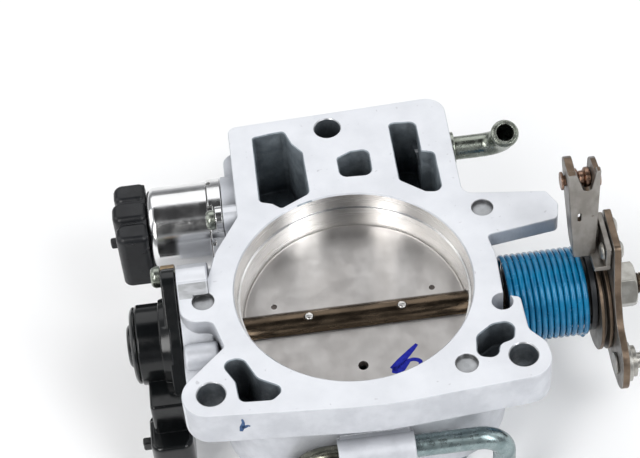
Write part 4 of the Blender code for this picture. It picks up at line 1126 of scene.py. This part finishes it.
def lever_fasteners():
    """Rivets, washer, nut and the ball stud."""
    outer = LEVER_X + LEVER_T
    for index, place in enumerate(RIVET_PLACES, start=1):
        profile = [
            (79.8, 0.0), (79.8, 2.2), (80.3, 2.8), (80.7, 3.0), (80.7, 1.6), (outer + GAP, 1.6),
            (outer + GAP, 3.0), (outer + 0.8, 2.8), (outer + 1.4, 2.0), (outer + 1.4, 0.0),
        ]
        piece(f"rivet_{index}", turned(profile, place, steps=40), ("nut",), f"anchor_rivet_{index}")
    piece("washer", ring(outer + GAP, outer + 1.5, 4.4, 8.6, SHAFT), ("nut",), "lever_washer")
    nut = slab(hexagon(0.0, SHAFT_Z, 14.0), outer + 1.8, outer + 7.6, "X", 0.1, 0.1)
    crown = turned(
        [(outer + 1.0, 0.0), (outer + 1.0, 6.6), (outer + 2.6, 8.6), (outer + 6.4, 8.6), (outer + 7.7, 6.7),
         (outer + 7.7, 0.0)],
        SHAFT, steps=96,
    )
    bore = turned([(outer + 1.0, 0.0), (outer + 1.0, 4.8), (outer + 2.4, 4.3), (outer + 7.0, 4.3),
                   (outer + 8.2, 5.1), (outer + 8.2, 0.0)], SHAFT, steps=60, soft=0.0)
    piece("shaft_nut", nut, ("nut",), "lever_nut", (), [bore], [crown])
    stud = [
        (82.4, 0.0), (82.4, 3.6), (83.0, 3.6), (83.0, 2.5), (outer + GAP, 2.5), (outer + GAP, 6.6),
        (outer + 1.6, 6.6), (outer + 1.9, 5.2), (outer + 3.4, 5.2), (outer + 3.7, 2.6), (outer + 5.0, 2.6),
    ]
    ball_centre = 95.0
    ball_r = 4.6
    neck_angle = 145.0
    ball_steps = 24
    for step in range(ball_steps):
        angle = math.radians(neck_angle - step * neck_angle / ball_steps)
        stud.append((ball_centre + ball_r * math.cos(angle), ball_r * math.sin(angle)))
    stud.append((ball_centre + ball_r, 0.0))
    piece("link_ball", turned(stud, STUD, steps=72, soft=0.12), ("nut",), "ball_stud")


def stop_parts():
    """The idle stop screw under the spring and its lock nut."""
    profile = [(-10.6, 0.0), (-10.6, 1.9)] + thread(-10.2, 6.6, 2.2, 0.8, 0.2) + [(7.2, 1.6), (7.2, 0.0)]
    socket = slab(hexagon(STOP_SCREW_X, STOP_SCREW_Z, 2.1, 0.05), -12.0, -8.6, "Y", 0.0, 0.0)
    screw = turned(profile, STOP, "Y", 40, 0.08)
    piece("idle_stop", screw, ("zinc",), "stop_screw", (), [socket])
    nut = slab(hexagon(STOP_SCREW_X, STOP_SCREW_Z, 7.0), -7.6, -4.1, "Y", 0.3, 0.3)
    hole = rod(-9.0, -3.0, 2.5, STOP, "Y")
    piece("idle_stop_nut", nut, ("zinc",), "stop_lock_nut", (), [hole])


# idle valve

def dented_can():
    """The drawn can with two staking dents on its upper front."""
    left = -66.0
    right = -45.3
    profile = [
        (left, 5.0), (left, 12.6), (left + 0.15, 13.3), (left + 0.6, 14.0), (left + 1.3, 14.5),
        (left + 2.2, CAN_R),
    ]
    steps = 26
    profile += [(left + 2.6 + (right - left - 3.0) * i / steps, CAN_R) for i in range(steps + 1)]
    profile += [(right, CAN_R), (right, 13.5), (left + 1.4, 13.5), (left + 1.4, 5.0)]
    can = turned(profile, IDLE, steps=160, soft=0.0)
    angle = math.radians(232.0)
    dent_r = 1.5
    dent_depth = 0.45
    for along in (-59.2, -53.6):
        dent = Vector((along, IDLE_Y + CAN_R * math.cos(angle), IDLE_Z + CAN_R * math.sin(angle)))
        for vert in can.verts:
            away = (vert.co - dent).length
            if away < dent_r:
                inward = Vector((0.0, IDLE_Y - vert.co.y, IDLE_Z - vert.co.z)).normalized()
                vert.co += inward * dent_depth * (1.0 - (away / dent_r) ** 2)
    return can


def idle_valve():
    """The stepper valve: can, crimped base, screws and connector."""
    centre = IDLE
    piece("stepper_can", dented_can(), ("chrome",), "idle_valve_can", sharp=50.0)
    base = slab(circle(*centre, 15.4, 144), -45.0, IDLE_X - GAP, "X", 0.35, 0.25)
    snout = ring(IDLE_X - 1.5, -34.2, 6.4, 8.6, centre)
    notches = []
    for i in range(8):
        angle = 2.0 * math.pi * (i + 0.5) / 8
        notch = box((-46.0, -1.1, 14.2), (-43.4, 1.1, 17.0), 0.25)
        bmesh.ops.rotate(notch, cent=(0, 0, 0), matrix=Matrix.Rotation(angle, 3, "X"), verts=notch.verts)
        bmesh.ops.translate(notch, vec=(0.0, *centre), verts=notch.verts)
        notches.append(notch)
    groove = ring(IDLE_X - 1.8, IDLE_X, 9.6, 12.4, centre, soft=0.0)
    throat = rod(-46.0, -33.0, 6.2, centre)
    piece("stepper_base", base, ("chrome",), "idle_valve_base",
          idle_ears(4.4, -42.6, IDLE_X - GAP, 0.2) + [snout],
          notches + [groove, throat] + holes_along_x(idle_screw_places(), -44.0, -38.0, SCREW_HOLE_R))
    for index, place in enumerate(idle_screw_places(), start=1):
        profile = [
            (-45.9, 0.0), (-45.9, 2.4), (-45.4, 3.1), (-44.6, 3.4), (-42.9, 3.4), (-42.9, 2.0), (-36.4, 2.0),
            (-36.4, 0.0),
        ]
        drive = slab(hexagon(*place, 3.0, 0.1), -46.4, -44.2, "X", 0.0, 0.0)
        screw = turned(profile, place, steps=40)
        piece(f"stepper_screw_{index}", screw, ("zinc",), f"idle_valve_screw_{index}", (), [drive])
    idle_connector()


def idle_connector():
    """The ribbed connector, which a plug enters from below."""
    left = -78.4
    right = -66.3
    lobes = []
    for index, (low, high, reach) in enumerate(((37.8, 46.25, 0.8), (46.5, 55.7, 0.0), (55.95, 64.6, 0.8))):
        end = left + reach
        outline = rounded([(end, low, 3.2), (right, low, 2.4), (right, high, 2.4), (end, high, 3.2)])
        top = -8.0 if index == 1 else -8.8
        lobes.append(slab(outline, -33.0 + 0.2 * index, top, "Z", 0.5, 2.2, 6))
    bar = box((left + 2.4, 38.6, -32.4), (right - 0.2, 63.8, -9.6), 0.4)
    nub = box((left - 2.4, 49.8, -26.0), (left + 1.0, 52.4, -22.6), 0.5)
    socket_outline = rounded([(-76.4, 40.4, 1.5), (-68.4, 40.4, 1.5), (-68.4, 62.0, 1.5), (-76.4, 62.0, 1.5)])
    socket = slab(socket_outline, -36.0, -17.0, "Z", 0.0, 0.3)
    ribs = [box((-79.5, y - 0.3, -30.0), (-77.85, y + 0.3, -13.0), 0.1) for y in (41.2, 43.6, 58.6, 61.0)]
    piece("stepper_plug", bar, ("black",), "idle_valve_connector", lobes + [nub], [socket] + ribs)


# position sensor

def position_sensor():
    """The rotary sensor on the shaft's left end."""
    centre = SHAFT
    seat = SENSOR_X - GAP
    flange = slab(sensor_outline(), -62.4, seat, "X", 0.7, 0.2)
    drum = turned([(-72.4, 0.0), (-72.4, 13.4), (-61.0, 13.4), (-61.0, 0.0)], centre, steps=120, soft=0.7)
    shoulder = turned([(-64.6, 0.0), (-64.6, 14.2), (-61.2, 15.0), (-61.2, 0.0)], centre, steps=120, soft=0.3)
    neck_block = box((-70.6, -24.0, -40.0), (-59.2, -8.0, -22.0), 1.0)
    shroud_outline = rounded([
        (-72.4, -31.0, 4.0), (-58.4, -31.0, 4.0), (-58.4, -14.0, 4.0), (-72.4, -14.0, 4.0),
    ])
    shroud = slab(shroud_outline, -51.0, -36.0, "Z", 0.6, 1.4)
    collar = stack(shroud_outline, [(-41.4, 0.4), (-41.2, 0.0), (-40.0, 0.0), (-39.8, 0.4)])
    nub = box((-75.4, -24.0, -45.0), (-71.4, -21.2, -41.0), 0.5)
    chamber = turned([(-73.0, 0.0), (-73.0, 11.0), (-59.4, 11.0), (-59.4, 0.0)], centre, soft=0.0)
    socket_outline = rounded([
        (-70.6, -29.2, 2.6), (-60.2, -29.2, 2.6), (-60.2, -15.8, 2.6), (-70.6, -15.8, 2.6),
    ])
    socket = slab(socket_outline, -52.0, -41.4, "Z", 0.0, 0.3)
    hub_hole = rod(-60.0, -57.0, 6.0, centre)
    sleeve_hole = [(-76.0, 0.0), (-76.0, 4.3), (-62.4, 4.3), (-62.4, 3.9), (-57.0, 3.9), (-57.0, 0.0)]
    sleeve_holes = [turned(sleeve_hole, place, steps=48, soft=0.0) for place in sensor_screw_places()]
    piece("sensor_shell", drum, ("gloss",), "sensor_body",
          [shoulder, flange, neck_block, shroud, collar, nub], [chamber, socket, hub_hole] + sleeve_holes)
    cover = [
        (-76.0, 0.0), (-76.0, 6.2), (-75.4, 7.0), (-74.6, 7.4), (-74.4, 11.6), (-73.6, 12.8),
        (-72.7, 12.8), (-72.7, 0.0),
    ]
    piece("sensor_lid", turned(cover, centre, steps=96, soft=0.35), ("gloss",), "sensor_cover")
    for index, place in enumerate(sensor_screw_places(), start=1):
        bush = ring(-62.4, seat, 2.5, 3.6, place, steps=48)
        piece(f"sensor_bush_{index}", bush, ("bronze",), f"sensor_sleeve_{index}")
        profile = [
            (-65.8, 0.0), (-65.8, 2.6), (-65.2, 3.3), (-64.4, 3.6), (-62.7, 3.6), (-62.7, 2.0),
            (-50.0, 2.0), (-50.0, 0.0),
        ]
        drive = slab(hexagon(*place, 3.0, 0.1), -66.4, -64.2, "X", 0.0, 0.0)
        bolt = turned(profile, place, steps=48)
        piece(f"sensor_bolt_{index}", bolt, ("zinc",), f"sensor_screw_{index}", (), [drive])


# pipes

def hose_nipple():
    """The vacuum elbow pressed into the right wall."""
    start = (33.2, NIPPLE_Y, NIPPLE_Z)
    corner = (59.6, NIPPLE_Y, NIPPLE_Z)
    end = (59.8, NIPPLE_Y - 7.4, NIPPLE_Z + 12.8)
    path = bend(start, corner, end, 7.5)
    collar = ring(41.5, 43.0, 3.9, 5.9, NIPPLE, steps=72, soft=0.35)
    ahead = (Vector(end) - Vector(corner)).normalized()
    lip_steps = 12
    lip_path = []
    radii = []
    for step in range(lip_steps + 1):
        t = step / lip_steps
        lip_path.append(Vector(end) - ahead * (3.0 - 2.6 * t))
        radii.append(4.0 + 0.9 * math.sqrt(math.sin(math.pi * t) + 1e-9))
    tube = swept(path, NIPPLE_R, 48)
    lip = swept(lip_path, NIPPLE_R, 48, 0.0, radii)
    inside = [Vector(start) - Vector((2.0, 0.0, 0.0))] + path[1:-1] + [Vector(end) + ahead * 2.0]
    piece("vacuum_elbow", tube, ("zinc",), "hose_nipple", [collar, lip],
          [swept(inside, NIPPLE_BORE, 40)])


def coolant_pipes():
    """The two pipes that carry warm coolant through the front boss."""
    right = bend((4.8, PIPE_Y, PIPE_Z), (41.4, PIPE_Y, PIPE_Z), (41.4, PIPE_Y, -58.0), 8.5)
    left = bend((-4.2, PIPE_Y, PIPE_Z), (-26.2, PIPE_Y, PIPE_Z), (-26.2, PIPE_Y, -58.0), 11.5)
    pipes = (("coolant_pipe_right", right, "grey_pipe"), ("coolant_pipe_left", left, "olive_pipe"))
    for name, path, kind in pipes:
        piece(f"{name}_tube", swept(path, PIPE_R, 48, PIPE_BORE), (kind,), name)


def inner_pieces():
    """The finishes of the CAD pieces that are kept."""
    kept = {
        "steel": ("shaft_bearing", "idle_valve_terminal", "sensor_terminal", "idle_valve_spring",
                  "idle_valve_pintle"),
        "rubber": ("shaft_seal", "idle_valve_seal", "sensor_seal"),
        "copper": ("idle_valve_windings",),
        "magnet": ("idle_valve_rotor",),
        "bronze": ("sensor_rotor",),
        "board": ("sensor_track",),
    }
    for kind, starts in kept.items():
        for node, part in frame["nodes"].items():
            if node.startswith(starts):
                for material_slot in part.material_slots:
                    material_slot.material = FINISHES[kind]


# studio

LIGHT_DISTANCE = 1.1
CAMERA_AZIMUTH = math.radians(-2.29)
CAMERA_ELEVATION = math.radians(49.09)
CAMERA_ROLL = math.radians(5.34)
CAMERA_PLACE = Vector((-24.71, -388.24, 477.11))       # in the bore frame
FOCAL_LENGTH = 106.425
SENSOR_WIDTH = 36.0


def direction(azimuth, elevation):
    """A unit vector: azimuth 0 is the front, and it grows to the right."""
    turn = math.radians(azimuth)
    rise = math.radians(elevation)
    return Vector((math.sin(turn) * math.cos(rise), -math.cos(turn) * math.cos(rise), math.sin(rise)))


def softbox(name, azimuth, elevation, size, power, tint=(1.0, 1.0, 1.0)):
    """A rectangular area light turned to the object, in metres and watts."""
    data = bpy.data.lights.new(name, "AREA")
    data.shape = "RECTANGLE"
    data.size, data.size_y = size
    data.energy = power
    data.color = tint
    lamp = bpy.data.objects.new(name, data)
    away = direction(azimuth, elevation)
    lamp.location = away * LIGHT_DISTANCE + Vector((0.0, 0.0, 0.04))
    lamp.rotation_euler = away.to_track_quat("Z", "Y").to_euler()
    bpy.context.collection.objects.link(lamp)


def studio():
    """Pale floor, soft lights and a surround for the metal to reflect."""
    floor = bmesh.new()
    outline = rounded([(-4.0, -4.0, 1.0), (4.0, -4.0, 1.0), (4.0, 4.0, 1.0), (-4.0, 4.0, 1.0)])
    floor.faces.new([floor.verts.new((x, y, -0.0004)) for x, y in outline])
    mesh = bpy.data.meshes.new("floor")
    floor.to_mesh(mesh)
    floor.free()
    ground = bpy.data.objects.new("floor", mesh)
    bpy.context.collection.objects.link(ground)
    tree = Tree("floor_paper")
    tree.put(tree.shader.inputs["Base Color"],
             tree.blend(tree.cloud(0.01), shade((0.93, 0.93, 0.93)), shade((0.96, 0.96, 0.96))))
    tree.shader.inputs["Roughness"].default_value = 0.9
    ground.data.materials.append(tree.material)

    surround()
    softbox("front_left", -41.0, 42.0, (0.36, 0.8), 6.0, (1.0, 0.99, 0.98))
    softbox("front_right", 41.0, 42.0, (0.36, 0.8), 5.6, (0.98, 0.99, 1.0))
    softbox("back", 176.0, 45.0, (1.5, 0.8), 3.6)
    softbox("left", -100.0, 30.0, (0.6, 0.8), 2.6)
    softbox("right", 100.0, 30.0, (0.6, 0.8), 2.0)
    bpy.context.scene.view_settings.view_transform = "Standard"


def surround():
    """A pale tent that is dim near the horizon, and dark overhead and round the lens."""
    world = bpy.data.worlds.new("surround")
    bpy.context.scene.world = world
    world.use_nodes = True
    nodes = world.node_tree.nodes
    links = world.node_tree.links
    coords = nodes.new("ShaderNodeTexCoord")
    split = nodes.new("ShaderNodeSeparateXYZ")
    ramp = nodes.new("ShaderNodeValToRGB")
    links.new(coords.outputs["Generated"], split.inputs[0])
    links.new(split.outputs["Z"], ramp.inputs[0])
    elements = ramp.color_ramp.elements
    elements[0].position = 0.0
    elements[0].color = (0.55, 0.56, 0.58, 1.0)
    elements[1].position = 0.95
    elements[1].color = (0.05, 0.05, 0.052, 1.0)
    for place, value in ((0.22, 0.20), (0.5, 0.36), (0.8, 0.52), (0.91, 0.46)):
        step = elements.new(place)
        step.color = (value, value * 1.02, value * 1.05, 1.0)
    toward_lens = nodes.new("ShaderNodeVectorMath")
    toward_lens.operation = "DOT_PRODUCT"
    toward_lens.inputs[1].default_value = direction(0.0, 49.0)
    links.new(coords.outputs["Generated"], toward_lens.inputs[0])
    patch = nodes.new("ShaderNodeMapRange")
    patch.inputs["From Min"].default_value = math.cos(math.radians(21.0))
    patch.inputs["From Max"].default_value = math.cos(math.radians(14.0))
    patch.inputs["To Min"].default_value = 1.0
    patch.inputs["To Max"].default_value = 0.12
    links.new(toward_lens.outputs["Value"], patch.inputs["Value"])
    links.new(ramp.outputs[0], nodes["Background"].inputs[0])
    links.new(patch.outputs[0], nodes["Background"].inputs[1])


def camera():
    """A long lens from the front and above, rolled a little."""
    right = Vector((math.cos(CAMERA_AZIMUTH), math.sin(CAMERA_AZIMUTH), 0.0))
    level = Vector((-math.sin(CAMERA_AZIMUTH), math.cos(CAMERA_AZIMUTH), 0.0))
    up = level * math.sin(CAMERA_ELEVATION) + Vector((0.0, 0.0, math.cos(CAMERA_ELEVATION)))
    back = right.cross(up)
    turned_right = right * math.cos(CAMERA_ROLL) - up * math.sin(CAMERA_ROLL)
    turned_up = right * math.sin(CAMERA_ROLL) + up * math.cos(CAMERA_ROLL)
    data = bpy.data.cameras.new("camera")
    data.sensor_width = SENSOR_WIDTH
    data.lens = FOCAL_LENGTH
    data.clip_start = 0.01
    data.clip_end = 20.0
    lens = bpy.data.objects.new("camera", data)
    bpy.context.collection.objects.link(lens)
    place = Matrix((turned_right, turned_up, back)).transposed().to_4x4()
    place.translation = (CAMERA_PLACE + ORIGIN) * MM
    lens.matrix_world = place
    bpy.context.scene.camera = lens


throttle_housing()
throttle_shaft()
throttle_plate()
plate_screws()
ink_marks()
flange_ink()
return_spring()
spring_sleeve()
lever_plate()
cable_cam()
cable_anchor()
cable_pin()
lever_fasteners()
stop_parts()
idle_valve()
position_sensor()
hose_nipple()
coolant_pipes()
inner_pieces()
studio()
camera()
